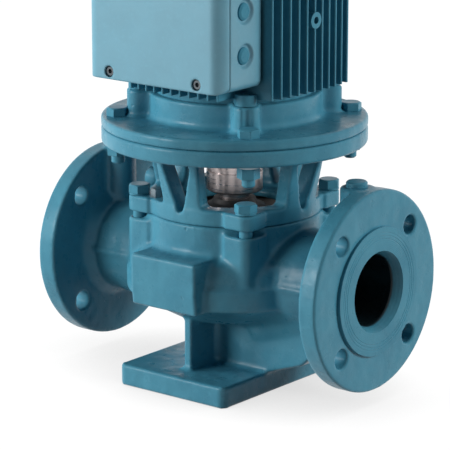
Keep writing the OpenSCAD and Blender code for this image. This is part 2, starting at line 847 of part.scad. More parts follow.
// Motor, drive end
module drive_end_shield() color("cadetblue") {
    flange_r = motor_flange_d / 2;
    spigot_bottom = motor_face - register_h;
    housing_r = front_bearing_d / 2;
    housing_top = front_bearing_top + 4;
    inner_r = frame_bore_d / 2 + 4;
    difference() {
        union() {
            rotate_extrude($fn = 128)
                polygon([[lip_seal_d / 2, spigot_bottom], [register_d / 2 - 0.1, spigot_bottom],
                    [register_d / 2 - 0.1, motor_face], [flange_r - 0.8, motor_face],
                    [flange_r, motor_face + 0.8], [flange_r, flange_top - 1.2],
                    [flange_r - 1.2, flange_top], [drum_d / 2 + 3, flange_top], [drum_d / 2, flange_top + 3],
                    [drum_d / 2, frame_bottom], [inner_r, frame_bottom], [inner_r, flange_top + 6],
                    [housing_r + hub_wall, flange_top + 6], [housing_r + hub_wall, housing_top],
                    [housing_r, housing_top], [housing_r, flange_top],
                    [lip_seal_d / 2 - 3, flange_top], [lip_seal_d / 2 - 3, spigot_bottom + lip_seal_h],
                    [lip_seal_d / 2, spigot_bottom + lip_seal_h]]);
            at_corners(pillar_reach)
                translate([0, 0, flange_top - 1])
                    difference() {
                        linear_extrude(pillar_h + 1) {
                            circle(d = pillar_d);
                            translate([-pillar_d / 2, 0])
                                square([pillar_d, pillar_d], center = true);
                        }
                        translate([pillar_d / 2 + 1, 0, -1])
                            cylinder(r = 4.6, h = pillar_h + 3);
                    }
        }
        // The pillars stop short of the frame's core
        translate([0, 0, frame_bottom])
            cylinder(r = frame_core_d / 2 + slide_clearance, h = pillar_h, $fn = 128);
        // Grooves for the circlip and the screws into the frame
        translate([0, 0, front_bearing_top])
            cylinder(r = housing_r + 1.5, h = circlip_t + 0.2);
        at_corners(pillar_reach) {
            translate([0, 0, motor_face - register_h - 1])
                cylinder(d = m8_d + 2 * bolt_clearance, h = 60);
            translate([0, 0, motor_face - register_h - 1])
                cylinder(d = 14, h = register_h + 8);
        }
        at_corners(motor_pcd / 2)
            translate([0, 0, motor_face - 1])
                cylinder(d = bolt_d + 2 * bolt_clearance, h = shield_flange_t + 2);
    }
}

pillar_h = drum_h + 2;

module shield_screws() color("dimgray") {
    at_corners(pillar_reach)
        translate([0, 0, motor_face + 7])
            rotate([180, 0, 0])
                socket_screw(m8_d, 13, 6.5, flange_top + pillar_h - motor_face - 7 + frame_lug_h - 1, 6);
}

module lip_seal() color("black") {
    bottom = motor_face - register_h;
    rotate_extrude()
        polygon([[lip_seal_d / 2, bottom], [lip_seal_d / 2, bottom + lip_seal_h],
            [motor_shaft_d / 2 + 3, bottom + lip_seal_h], [motor_shaft_d / 2 + 3, bottom + lip_seal_h - 1.5],
            [lip_seal_d / 2 - 3, bottom + lip_seal_h - 1.5], [lip_seal_d / 2 - 3, bottom + 2],
            [motor_shaft_d / 2 + 2.5, bottom + 4.5], [motor_shaft_d / 2 + lip_clearance, bottom + 4],
            [motor_shaft_d / 2 + lip_clearance, bottom + 3], [motor_shaft_d / 2 + 2.5, bottom]]);
}

// One race ring: outer or inner, with the groove that the balls run in
module race(outer_r, inner_r, pitch_r, ball_r, w) {
    rotate_extrude()
        difference() {
            translate([inner_r, -w / 2])
                square([outer_r - inner_r, w]);
            translate([pitch_r, 0])
                circle(ball_r + ball_clearance, $fn = 32);
        }
}

function inner_race_r(bore, outer) = bore / 2 + race_share * (outer - bore) / 4 * 1.3;
function outer_race_r(bore, outer) = outer / 2 - race_share * (outer - bore) / 4 * 1.3;

module ball_set(pitch_r, ball_r) {
    for (i = [0 : ball_count - 1])
        rotate(360 * i / ball_count)
            translate([pitch_r, 0, 0])
                sphere(ball_r, $fn = 32);
    translate([0, 0, -ball_r / 2])
        ring(2 * pitch_r + 2.4, 2 * pitch_r - 2.4, ball_r);
}

module front_bearing_outer() color("silver") {
    translate([0, 0, front_bearing_bottom + front_bearing_w / 2])
        race(front_bearing_d / 2, outer_race_r(front_bearing_bore, front_bearing_d),
            front_pitch_r, front_ball_r, front_bearing_w);
}

module front_bearing_inner() color("silver") {
    translate([0, 0, front_bearing_bottom + front_bearing_w / 2])
        race(inner_race_r(front_bearing_bore, front_bearing_d), front_bearing_bore / 2,
            front_pitch_r, front_ball_r, front_bearing_w);
}

module rear_bearing_outer() color("silver") {
    translate([0, 0, rear_bearing_bottom + rear_bearing_w / 2])
        race(rear_bearing_d / 2, outer_race_r(rear_bearing_bore, rear_bearing_d),
            rear_pitch_r, rear_ball_r, rear_bearing_w);
}

module rear_bearing_inner() color("silver") {
    translate([0, 0, rear_bearing_bottom + rear_bearing_w / 2])
        race(inner_race_r(rear_bearing_bore, rear_bearing_d), rear_bearing_bore / 2,
            rear_pitch_r, rear_ball_r, rear_bearing_w);
}

module front_ball_set() color("lightsteelblue") {
    translate([0, 0, front_bearing_bottom + front_bearing_w / 2])
        ball_set(front_pitch_r, front_ball_r);
}

module rear_ball_set() color("lightsteelblue") {
    translate([0, 0, rear_bearing_bottom + rear_bearing_w / 2])
        ball_set(rear_pitch_r, rear_ball_r);
}

module bearing_circlip() color("dimgray") {
    outer_r = front_bearing_d / 2 + 1.3;
    translate([0, 0, front_bearing_top])
        difference() {
            ring(2 * outer_r, 2 * outer_r - 8, circlip_t);
            translate([0, -3, -1])
                cube([outer_r + 1, 6, circlip_t + 2]);
        }
}

// Finned frame
function fin_tip(offset) = fin_reach - offset * offset / (2 * fin_arc_r);

module fin_row(pitch) {
    root_r = frame_core_d / 2 - 1;
    for (i = [-half_fin_count : half_fin_count]) {
        offset = i * pitch;
        tip = fin_tip(offset);
        root = sqrt(root_r * root_r - offset * offset);
        root_t = fin_tip_t + 1.4;
        polygon([[root, offset - root_t / 2], [tip - 0.8, offset - fin_tip_t / 2],
            [tip, offset - fin_tip_t / 2 + 0.6], [tip, offset + fin_tip_t / 2 - 0.6],
            [tip - 0.8, offset + fin_tip_t / 2], [root, offset + root_t / 2]]);
    }
}

module motor_frame() color("cadetblue") {
    difference() {
        union() {
            translate([0, 0, frame_bottom])
                cylinder(d = frame_core_d, h = frame_l, $fn = 128);
            translate([0, 0, fin_bottom])
                linear_extrude(frame_top - fin_bottom) {
                    each_end()
                        fin_row(side_fin_pitch);
                    rotate(90)
                        each_end()
                            fin_row(front_fin_pitch);
                }
            // Seat of the terminal box
            translate([-frame_pad_w / 2, -frame_pad_reach, box_bottom + 6])
                cube([frame_pad_w, 12, box_h - 12]);
            // Lugs for the screws of both shields
            at_corners(pillar_reach)
                for (z = [frame_lug_bottom, frame_top - rear_lug_h - lug_step])
                    translate([0, 0, z])
                        linear_extrude(z == frame_lug_bottom ? frame_lug_h : rear_lug_h) {
                            circle(d = frame_lug_d);
                            translate([-frame_lug_d, 0])
                                square([frame_lug_d * 2, frame_lug_d], center = true);
                        }
            // Earth boss on the middle fin
            translate([frame_core_d / 2 - 4, 0, box_mid + earth_rise])
                rotate([0, 90, 0])
                    cylinder(d = 15, h = fin_reach - frame_core_d / 2 + 4.8);
        }
        translate([0, 0, frame_bottom - 1])
            cylinder(d = frame_bore_d, h = frame_l + 2, $fn = 128);
        // Fins end at the seat where the terminal box stands
        translate([-tunnel_half_w - 1, -fin_reach - 10, box_bottom - 2])
            cube([2 * tunnel_half_w + 2, fin_reach + 10 - frame_pad_reach, box_h + 4]);
        translate([fin_reach - 10, 0, box_mid + earth_rise])
            rotate([0, 90, 0])
                cylinder(d = 6.4, h = 20);
        at_corners(pillar_reach)
            translate([0, 0, frame_lug_bottom - 1])
                cylinder(d = m8_d + 2 * thread_clearance, h = frame_lug_h + 1 + 6);
        at_corners(pillar_reach)
            translate([0, 0, frame_top - 12])
                cylinder(d = m6_d + 2 * thread_clearance, h = 13);
        for (x = [-1, 1], z = [-1, 1])
            translate([x * box_screw_x, -frame_pad_reach - 1, box_mid + z * box_screw_z])
                rotate([-90, 0, 0])
                    cylinder(d = m5_d + 2 * thread_clearance, h = 9);
    }
}

frame_lug_d = 19;
frame_lug_h = 10;
frame_lug_bottom = flange_top + pillar_h;
rear_lug_h = 14;
lug_step = 0.3;
box_screw_x = 38;
box_screw_z = 36;

module stator_core() color("dimgray") {
    bore_r = rotor_d / 2 + air_gap;
    translate([0, 0, core_bottom])
        linear_extrude(core_l)
            difference() {
                circle(d = frame_bore_d, $fn = 128);
                circle(bore_r, $fn = 128);
                for (i = [0 : slot_count - 1])
                    rotate(360 * i / slot_count)
                        translate([bore_r + slot_depth / 2 - 1, 0])
                            square([slot_depth + 2, slot_w], center = true);
            }
}

slot_depth = 14;
slot_w = 5;

module stator_windings() color("saddlebrown") {
    bore_r = rotor_d / 2 + air_gap;
    for (i = [0 : slot_count - 1])
        rotate(360 * i / slot_count)
            translate([bore_r + 2, -slot_w / 2 + 0.2, core_bottom - 4])
                cube([slot_depth - 2.4, slot_w - 0.4, core_l + 8]);
    for (z = [core_bottom - 16, core_top + 1])
        translate([0, 0, z])
            rotate_extrude($fn = 96)
                translate([bore_r + 1.5 + 4, 4]) {
                    square([9, 15 - 8]);
                    for (x = [0, 9], y = [0, 7])
                        translate([x, y])
                            circle(4, $fn = 32);
                    translate([-4, 0])
                        square([17, 7]);
                    translate([0, -4])
                        square([9, 15]);
                }
}

module rear_shield() color("cadetblue") {
    bearing_r = rear_bearing_d / 2;
    rim_r = cowl_d / 2 - cowl_t - slide_clearance;
    difference() {
        rotate_extrude($fn = 128)
            polygon([[bearing_r, rear_bearing_bottom], [bearing_r + hub_wall - 1, rear_bearing_bottom],
                [bearing_r + hub_wall - 1, frame_top + 1], [frame_bore_d / 2 - 8, frame_top + 1],
                [frame_bore_d / 2 - 8, frame_top - rear_spigot_l],
                [frame_bore_d / 2 - 0.1, frame_top - rear_spigot_l], [frame_bore_d / 2 - 0.1, frame_top],
                [cowl_d / 2 + 2, frame_top], [cowl_d / 2 + 2, frame_top + rear_flange_t],
                [rim_r, frame_top + rear_flange_t], [rim_r, rear_seat_top],
                [rim_r - 5, rear_seat_top], [rim_r - 9, frame_top + 6],
                [bearing_r + hub_wall + 4, frame_top + 6], [bearing_r + hub_wall, rear_seat_top],
                [fan_shaft_d / 2 + 1, rear_seat_top], [fan_shaft_d / 2 + 1, rear_seat_top - rear_wall],
                [bearing_r, rear_seat_top - rear_wall]]);
        at_corners(pillar_reach) {
            translate([0, 0, frame_top - 1])
                cylinder(d = m6_d + 2 * bolt_clearance, h = 20);
            translate([0, 0, frame_top + 3.5])
                cylinder(d = 12, h = 20);
        }
        for (i = [0 : 3])
            rotate(90 * i)
                translate([rim_r - 8, 0, cowl_screw_h])
                    rotate([0, 90, 0])
                        cylinder(d = m5_d + 2 * thread_clearance, h = 12);
    }
}

module rear_shield_screws() color("dimgray") {
    at_corners(pillar_reach)
        translate([0, 0, frame_top + 3.5])
            socket_screw(m6_d, 10, 6, 13, 5);
}

// Wave spring between the rear bearing and its housing
wave_steps = 36;
wave_count = 3;
function wave_z(a) = (spring_space - wave_sheet) / 2 * (1 + cos(wave_count * a)) * wave_free;
wave_sheet = 0.6;
wave_free = 0.97;

module wave_spring() color("silver") {
    inner = rear_bearing_d / 2 - 4;
    outer = rear_bearing_d / 2 - 0.4;
    points = [for (i = [0 : wave_steps - 1]) let (a = 360 * i / wave_steps)
        for (p = [[inner, 0], [outer, 0], [outer, wave_sheet], [inner, wave_sheet]])
            [p[0] * cos(a), p[0] * sin(a), p[1] + wave_z(a)]];
    faces = [for (i = [0 : wave_steps - 1]) let (n = (i + 1) % wave_steps)
        for (k = [0 : 3]) let (m = (k + 1) % 4)
            each [[4 * i + k, 4 * i + m, 4 * n + k], [4 * i + m, 4 * n + m, 4 * n + k]]];
    translate([0, 0, rear_bearing_top + 0.05])
        polyhedron(points = points, faces = faces);
}

// Fan cowl with three rings of slots in its top
module fan_cowl() color("cadetblue") {
    outer_r = cowl_d / 2;
    corner_r = 14;
    h = cowl_top - cowl_bottom;
    difference() {
        translate([0, 0, cowl_bottom])
            rotate_extrude($fn = 128)
                difference() {
                    union() {
                        square([outer_r - corner_r, h]);
                        square([outer_r, h - corner_r]);
                        translate([outer_r - corner_r, h - corner_r])
                            circle(corner_r);
                    }
                    translate([-eps, -1]) {
                        square([outer_r - corner_r + eps, h - cowl_t + 1]);
                        square([outer_r - cowl_t + eps, h - corner_r + 1]);
                    }
                    translate([outer_r - corner_r, h - corner_r])
                        circle(corner_r - cowl_t);
                }
        for (row = grille_rows)
            for (i = [0 : row[1] - 1])
                rotate(360 * i / row[1])
                    translate([row[0], 0, cowl_top - 2 * cowl_t - 1])
                        linear_extrude(3 * cowl_t + 2) {
                            square([grille_slot_l, grille_slot_w], center = true);
                            for (x = [-1, 1])
                                translate([x * grille_slot_l / 2, 0])
                                    circle(d = grille_slot_w);
                        }
        for (i = [0 : 3])
            rotate(90 * i)
                translate([outer_r - 6, 0, cowl_screw_h])
                    rotate([0, 90, 0])
                        cylinder(d = m5_d + 2 * bolt_clearance, h = 10);
    }
}

grille_slot_l = 13;
grille_slot_w = 5;
grille_rows = [[24, 9], [44, 16], [64, 24]];

module cowl_screws() color("silver") {
    for (i = [0 : 3])
        rotate(90 * i)
            translate([cowl_d / 2, 0, cowl_screw_h])
                rotate([0, 90, 0])
                    socket_screw(m5_d, 9, 2.6, 8, 3);
}

// Terminal box on the front of the motor
module box_outline(depth_from, depth_to, inset) {
    intersection() {
        translate([0, 0, box_bottom + inset])
            linear_extrude(box_h - 2 * inset)
                union() {
                    translate([0, -(box_reach - box_edge_r) / 2])
                        square([box_w - 2 * inset, box_reach - box_edge_r], center = true);
                    translate([0, -(box_reach - 20 - inset)])
                        square([box_w - 2 * box_edge_r, 40], center = true);
                    for (x = [-1, 1])
                        translate([x * (box_w / 2 - box_edge_r), -(box_reach - box_edge_r)])
                            circle(box_edge_r - inset);
                }
        translate([0, -depth_from, box_mid])
            rotate([-90, 0, 0])
                linear_extrude(depth_from - depth_to)
                    rounded_square(box_w - 2 * inset, box_h - 2 * inset, box_corner_r - inset * 0.6);
    }
}

module terminal_box() color("cadetblue") {
    floor_reach = frame_pad_reach + box_wall;
    difference() {
        box_outline(seam_reach, flank_reach, 0);
        // Tunnel that straddles the front fins
        translate([-tunnel_half_w, -frame_pad_reach, box_bottom - 1])
            cube([2 * tunnel_half_w, frame_pad_reach, box_h + 2]);
        // Inside, with a pocket down each flank
        intersection() {
            translate([0, 0, box_bottom + box_wall])
                linear_extrude(box_h - 2 * box_wall) {
                    translate([0, -(floor_reach + seam_reach + 1) / 2])
                        square([box_w - 2 * box_wall, seam_reach - floor_reach + 1], center = true);
                    for (x = [-1, 1])
                        translate([x * (tunnel_half_w + box_w / 2) / 2,
                            -(floor_reach + flank_reach + box_wall) / 2])
                            square([box_w / 2 - tunnel_half_w - 2 * box_wall,
                                floor_reach - flank_reach - box_wall + 1], center = true);
                }
            translate([-box_w, -box_reach, 0])
                cube([2 * box_w, box_reach, 1000]);
        }
        // Cable entries on the right flank
        for (z = [-1, 1])
            translate([box_w / 2, -entry_reach, box_mid + z * entry_pitch / 2])
                rotate([0, 90, 0]) {
                    translate([0, 0, -box_wall - 4])
                        cylinder(d = entry_thread_d + 2 * thread_clearance, h = box_wall + 6);
                    translate([0, 0, -entry_recess])
                        cylinder(d1 = entry_d - 3, d2 = entry_d, h = entry_recess + eps);
                }
        for (x = [-1, 1], z = [-1, 1])
            translate([x * box_screw_x, -floor_reach - 1, box_mid + z * box_screw_z])
                rotate([-90, 0, 0])
                    cylinder(d = m5_d + 2 * bolt_clearance, h = box_wall + 2);
        for (x = [-1, 1])
            translate([x * board_screw_x, -floor_reach - 1, box_mid])
                rotate([-90, 0, 0])
                    cylinder(d = m4_d + 2 * thread_clearance, h = box_wall + 2);
    }
    // Posts that take the cover screws
    for (x = [-1, 1], z = [-1, 1])
        difference() {
            translate([x * cover_screw_x, -seam_reach, box_mid + z * (box_h / 2 - cover_screw_inset)])
                rotate([-90, 0, 0])
                    cylinder(d = 9, h = seam_reach - floor_reach + 1);
            translate([x * cover_screw_x, -seam_reach - 1, box_mid + z * (box_h / 2 - cover_screw_inset)])
                rotate([-90, 0, 0])
                    cylinder(d = m5_d + 2 * thread_clearance, h = 14);
        }
}

entry_thread_d = 14;
entry_recess = 2.5;
board_screw_x = 29;

module box_screws() color("silver") {
    for (x = [-1, 1], z = [-1, 1])
        translate([x * box_screw_x, -frame_pad_reach - box_wall, box_mid + z * box_screw_z])
            rotate([90, 0, 0])
                socket_screw(m5_d, 8.5, 4, 11, 4);
}

module cover_gasket() color("black") {
    difference() {
        box_outline(seam_reach + seam_gap, seam_reach, 1);
        translate([0, -seam_reach + 1, box_mid])
            rotate([90, 0, 0])
                linear_extrude(seam_gap + 2)
                    rounded_square(box_w - 2 * box_wall - 1, box_h - 2 * box_wall - 1, 4);
    }
}

module terminal_cover() color("lightblue") {
    back = seam_reach + seam_gap;
    difference() {
        box_outline(box_reach, back, 0);
        translate([0, -back + 1, box_mid])
            rotate([90, 0, 0])
                linear_extrude(box_reach - back - 3 + 1)
                    difference() {
                        rounded_square(box_w - 2 * box_edge_r + 8, box_h - 2 * box_wall, 4);
                        for (x = [-1, 1], z = [-1, 1])
                            translate([x * cover_screw_x, z * (box_h / 2 - cover_screw_inset)])
                                circle(d = 15);
                    }
        for (x = [-1, 1], z = [-1, 1])
            translate([x * cover_screw_x, -box_reach - 1, box_mid + z * (box_h / 2 - cover_screw_inset)])
                rotate([-90, 0, 0]) {
                    cylinder(d = m5_d + 2 * bolt_clearance, h = cover_depth + 2);
                    cylinder(d = cover_recess_d, h = cover_recess + 1);
                }
    }
}

cover_recess_d = 10.5;
cover_recess = 6;

module cover_screws() color("silver") {
    for (x = [-1, 1], z = [-1, 1])
        translate([x * cover_screw_x, -box_reach + cover_recess, box_mid + z * (box_h / 2 - cover_screw_inset)])
            rotate([90, 0, 0])
                socket_screw(m5_d, 8, 4.5, cover_depth - cover_recess + 10, 4);
}

module entry_plugs() color("cadetblue") {
    for (z = [-1, 1])
        translate([box_w / 2 - entry_recess, -entry_reach, box_mid + z * entry_pitch / 2])
            rotate([0, 90, 0]) {
                cylinder(d1 = 16, d2 = 15, h = 1.2);
                translate([0, 0, 1.2 - eps])
                    cylinder(d1 = 15, d2 = 11, h = 1.2);
                translate([0, 0, -box_wall])
                    cylinder(d = entry_thread_d, h = box_wall + eps);
            }
}

module terminal_board() color("saddlebrown") {
    translate([0, -frame_pad_reach - box_wall, box_mid])
        rotate([90, 0, 0])
            difference() {
                linear_extrude(board_t)
                    rounded_square(board_w, board_h, 4);
                for (x = [-1, 1])
                    translate([x * board_screw_x, 0, -1])
                        cylinder(d = m4_d + 2 * slide_clearance, h = board_t + 2);
                for (x = [-1 : 1], z = [-1, 1])
                    translate([x * stud_pitch_x, z * stud_pitch_z / 2, -1])
                        cylinder(d = stud_d + 2 * thread_clearance, h = board_t + 2);
            }
}

stud_d = 5;

module board_screws() color("silver") {
    for (x = [-1, 1])
        translate([x * board_screw_x, -frame_pad_reach - box_wall - board_t, box_mid])
            rotate([90, 0, 0])
                socket_screw(m4_d, 7, 2.5, board_t + box_wall - 1, 2.5);
}

module terminal_studs() color("gold") {
    for (x = [-1 : 1], z = [-1, 1])
        translate([x * stud_pitch_x, -frame_pad_reach - box_wall - board_t, box_mid + z * stud_pitch_z / 2])
            rotate([90, 0, 0]) {
                translate([0, 0, 1.2])
                    chamfered_hex(8, 4);
                translate([0, 0, -board_t + 0.5])
                    cylinder(d = stud_d, h = board_t + 9);
            }
}

module terminal_links() color("gold") {
    for (x = [-1 : 1])
        translate([x * stud_pitch_x, -frame_pad_reach - box_wall - board_t, box_mid])
            rotate([90, 0, 0])
                linear_extrude(1.2)
                    difference() {
                        rounded_square(9, stud_pitch_z + 9, 4);
                        for (z = [-1, 1])
                            translate([0, z * stud_pitch_z / 2])
                                circle(d = stud_d + 2 * thread_clearance);
                    }
}

// Rotor
module motor_shaft() color("silver") {
    end_r = motor_shaft_d / 2;
    front_r = front_bearing_bore / 2;
    rear_r = rear_bearing_bore / 2;
    shoulder_r = shaft_shoulder_d / 2;
    fan_r = fan_shaft_d / 2;
    difference() {
        rotate_extrude()
            polygon([[0, shaft_end], [end_r - 1, shaft_end], [end_r, shaft_end + 1],
                [end_r, front_bearing_bottom - 4], [front_r, front_bearing_bottom - 4],
                [front_r, front_bearing_top], [shoulder_r, front_bearing_top],
                [shoulder_r, rear_bearing_bottom], [rear_r, rear_bearing_bottom],
                [rear_r, rear_bearing_top + 1], [fan_r, rear_bearing_top + 1],
                [fan_r, fan_top], [fan_r - 0.8, fan_top], [fan_r - 0.8, fan_top + circlip_t],
                [fan_r, fan_top + circlip_t], [fan_r, shaft_top - 1], [fan_r - 1, shaft_top], [0, shaft_top]]);
        translate([end_r - 4, -4, shaft_end + 4])
            cube([5, 8, motor_key_l]);
    }
}

motor_key_l = 40;
key_proud = 3;

module motor_key() color("gray") {
    translate([motor_shaft_d / 2 - 4, -4, shaft_end + 4])
        cube([4 + key_proud, 8, motor_key_l]);
}

module rotor_core() color("gray") {
    translate([0, 0, core_bottom])
        ring(rotor_d, shaft_shoulder_d, core_l, $fn = 128);
}

end_ring_w = 14;
end_ring_h = 8;

module rotor_end_rings() color("lightgray") {
    for (end = [0, 1])
        translate([0, 0, core_mid])
            mirror([0, 0, end])
                translate([0, 0, core_l / 2]) {
                    ring(rotor_d - 3, rotor_d - 3 - 2 * end_ring_w, end_ring_h);
                    for (i = [0 : 7])
                        rotate(45 * i)
                            translate([rotor_d / 2 - end_ring_w, -1.2, end_ring_h - 1])
                                cube([10, 2.4, 9]);
                }
}

module fan() color("dimgray") {
    hub_r = fan_shaft_d / 2 + 7;
    difference() {
        union() {
            translate([0, 0, fan_bottom])
                cylinder(r = hub_r, h = fan_h);
            translate([0, 0, fan_bottom])
                cylinder(r1 = fan_d * 0.34, r2 = fan_d * 0.31, h = 3);
            for (i = [0 : fan_blades - 1])
                rotate(360 * i / fan_blades)
                    translate([0, 1.3, fan_bottom])
                        rotate([90, 0, 0])
                            linear_extrude(2.6)
                                polygon([[hub_r - 2, 0], [fan_d * 0.4, 0], [fan_d / 2, 4], [fan_d / 2, fan_h - 6],
                                    [fan_d / 2 - 4, fan_h], [fan_d * 0.3, fan_h], [hub_r - 2, fan_h * 0.7]]);
        }
        translate([0, 0, fan_bottom - 1])
            cylinder(d = fan_shaft_d + 0.04, h = fan_h + 2);
    }
}

module fan_circlip() color("dimgray") {
    translate([0, 0, fan_top + 0.05])
        difference() {
            ring(fan_shaft_d + 5, fan_shaft_d - 1.4, circlip_t - 0.1);
            translate([0, -2.5, -1])
                cube([fan_shaft_d, 5, circlip_t + 2]);
        }
}

module pump_shaft() color("rosybrown") {
    thread_r = impeller_thread_d / 2;
    seat_r = impeller_shaft_d / 2;
    seal_r = seal_shaft_d / 2;
    hub_r = hub_d / 2;
    socket_r = motor_shaft_d / 2 + 0.02;
    groove_z = hub_bottom + hub_l * 0.36;
    difference() {
        rotate_extrude()
            polygon([[0, impeller_hub_bottom - washer_t - impeller_nut_h - 2],
                [thread_r, impeller_hub_bottom - washer_t - impeller_nut_h - 2],
                [thread_r, impeller_hub_bottom], [seat_r, impeller_hub_bottom],
                [seat_r, impeller_hub_top], [seal_r, impeller_hub_top], [seal_r, hub_bottom],
                [hub_r - 1.5, hub_bottom], [hub_r, hub_bottom + 1.5], [hub_r, groove_z],
                [hub_r - 1.5, groove_z], [hub_r - 1.5, groove_z + 3], [hub_r, groove_z + 3],
                [hub_r, hub_top - 1.5], [hub_r - 1.5, hub_top], [socket_r, hub_top],
                [socket_r, shaft_end - 0.5], [0, shaft_end - 0.5]]);
        translate([0, -4.02, shaft_end - 0.5])
            cube([motor_shaft_d / 2 + key_proud + 0.3, 8.04, hub_top - shaft_end + 2]);
        translate([seat_r - 3, -3, impeller_hub_bottom + 2])
            cube([4, 6, impeller_key_l]);
        for (a = grub_angles)
            rotate(a)
                translate([seal_r - 1, 0, grub_h])
                    rotate([0, 90, 0])
                        cylinder(d = m8_d + 2 * thread_clearance, h = hub_r);
    }
}

impeller_thread_d = 16;
impeller_nut_h = 8;
impeller_key_l = 12;
grub_angles = [120, 240];
grub_h = hub_bottom + hub_l * 0.65;

module hub_grub_screws() color("dimgray") {
    grub_l = hub_d / 2 - motor_shaft_d / 2 - 2;
    for (a = grub_angles)
        rotate(a)
            translate([motor_shaft_d / 2 + 0.3, 0, grub_h])
                rotate([0, 90, 0])
                    difference() {
                        cylinder(d = m8_d, h = grub_l);
                        translate([0, 0, grub_l - 4])
                            hex(4, 5);
                    }
}

module slinger() color("black") {
    bottom = seal_boss_top + 4;
    seal_r = seal_shaft_d / 2;
    rotate_extrude()
        polygon([[seal_r, bottom + 2], [seal_r + 5, bottom + 2], [seal_r + 14, bottom], [seal_r + 15, bottom + 1],
            [seal_r + 7, bottom + 5], [seal_r + 5, bottom + 9], [seal_r, bottom + 9]]);
}

module seal_head() color("black") {
    seal_r = seal_shaft_d / 2;
    face = seat_face - 0.1;
    rotate_extrude()
        polygon([[seal_r, impeller_hub_top + 1], [seal_r + 5, impeller_hub_top + 1],
            [seal_r + 5, impeller_hub_top + 5], [seal_r + 2.5, impeller_hub_top + 7],
            [seal_r + 2.5, face - 9], [seal_r + 6, face - 8], [seal_r + 6, face - 3],
            [seal_r + 4.5, face - 3], [seal_r + 4.5, face], [seal_r + 1.6, face],
            [seal_r + 1.6, face - 4], [seal_r, face - 4]]);
}

// Coil of the seal spring, swept along a helix
spring_turns = 3;
spring_sides = 6;
spring_steps = 14;
spring_wire_d = 2;

function helix_point(t, r, pitch) = [r * cos(360 * t), r * sin(360 * t), pitch * t];

module seal_spring() color("silver") {
    r = seal_shaft_d / 2 + 2.5 + spring_wire_d / 2 + 2 * running_clearance;
    bottom = impeller_hub_top + 7 + spring_wire_d / 2;
    top = seat_face - 0.1 - 9 - spring_wire_d / 2;
    pitch = (top - bottom) / spring_turns;
    count = spring_turns * spring_steps;
    points = [for (i = [0 : count]) let (c = helix_point(i / spring_steps, r, pitch))
        for (k = [0 : spring_sides - 1]) let (a = 360 * k / spring_sides, s = 360 * i / spring_steps)
            c + spring_wire_d / 2 * [cos(a) * cos(s), cos(a) * sin(s), sin(a)]];
    sides = [for (i = [0 : count - 1], k = [0 : spring_sides - 1])
        let (m = (k + 1) % spring_sides, a = i * spring_sides, b = a + spring_sides)
            each [[a + k, b + k, a + m], [a + m, b + k, b + m]]];
    first = [[for (k = [0 : spring_sides - 1]) k]];
    last = [[for (k = [0 : spring_sides - 1]) count * spring_sides + spring_sides - 1 - k]];
    translate([0, 0, bottom])
        polyhedron(points = points, faces = concat(sides, first, last));
}

// Closed impeller: two shrouds with backward-curved vanes between them
vane_in_r = 27;
vane_turn = 95;
vane_steps = 10;
function vane_line(side) = [for (i = [0 : vane_steps])
    let (t = i / vane_steps, r = vane_in_r + (impeller_d / 2 - 0.5 - vane_in_r) * t,
        a = -vane_turn * pow(t, 0.85) + side * asin(min(1, vane_t / 2 / r / cos(vane_slope))))
        r * [cos(a), sin(a)]];
vane_slope = 60;

function reversed(list) = [for (i = [len(list) - 1 : -1 : 0]) list[i]];

module impeller() color("darkgoldenrod") {
    outer_r = impeller_d / 2;
    hub_r = impeller_shaft_d / 2 + 7;
    eye_r = eye_d / 2;
    collar_r = eye_collar_d / 2;
    vane_top = vane_bottom + outlet_w;
    difference() {
        union() {
            rotate_extrude($fn = 96)
                polygon([[0, vane_bottom], [hub_r, vane_bottom], [hub_r + 6, vane_top - 1.5],
                    [outer_r, vane_top], [outer_r, vane_top + shroud_t],
                    [hub_r + 3, vane_top + shroud_t], [hub_r, impeller_hub_top], [0, impeller_hub_top]]);
            rotate_extrude($fn = 96)
                polygon([[eye_r, wear_seat_floor + 0.6], [collar_r, wear_seat_floor + 0.6],
                    [collar_r, vane_bottom - shroud_t], [outer_r, vane_bottom - shroud_t],
                    [outer_r, vane_bottom], [eye_r + 4, vane_bottom], [eye_r, vane_bottom - shroud_t]]);
            translate([0, 0, vane_bottom - eps])
                linear_extrude(outlet_w + 2 * eps)
                    for (i = [0 : vane_count - 1])
                        rotate(360 * i / vane_count)
                            polygon(concat(vane_line(1), reversed(vane_line(-1))));
        }
        translate([0, 0, wear_seat_floor - 1])
            cylinder(d = impeller_shaft_d + 0.04, h = 60);
        translate([0, -3.02, wear_seat_floor - 1])
            cube([impeller_shaft_d / 2 + 3.2, 6.04, 60]);
    }
}

module impeller_key() color("gray") {
    translate([impeller_shaft_d / 2 - 3, -3, impeller_hub_bottom + 2])
        cube([6, 6, impeller_key_l]);
}

module impeller_washer() color("silver") {
    translate([0, 0, impeller_hub_bottom - washer_t])
        ring(32, impeller_thread_d + 0.4, washer_t);
}

module impeller_nut() color("silver") {
    translate([0, 0, impeller_hub_bottom - washer_t - impeller_nut_h])
        difference() {
            rotate([180, 0, 0])
                translate([0, 0, -impeller_nut_h])
                    chamfered_hex(24, impeller_nut_h);
            translate([0, 0, -1])
                cylinder(d = impeller_thread_d + 2 * thread_clearance, h = impeller_nut_h + 2);
        }
}

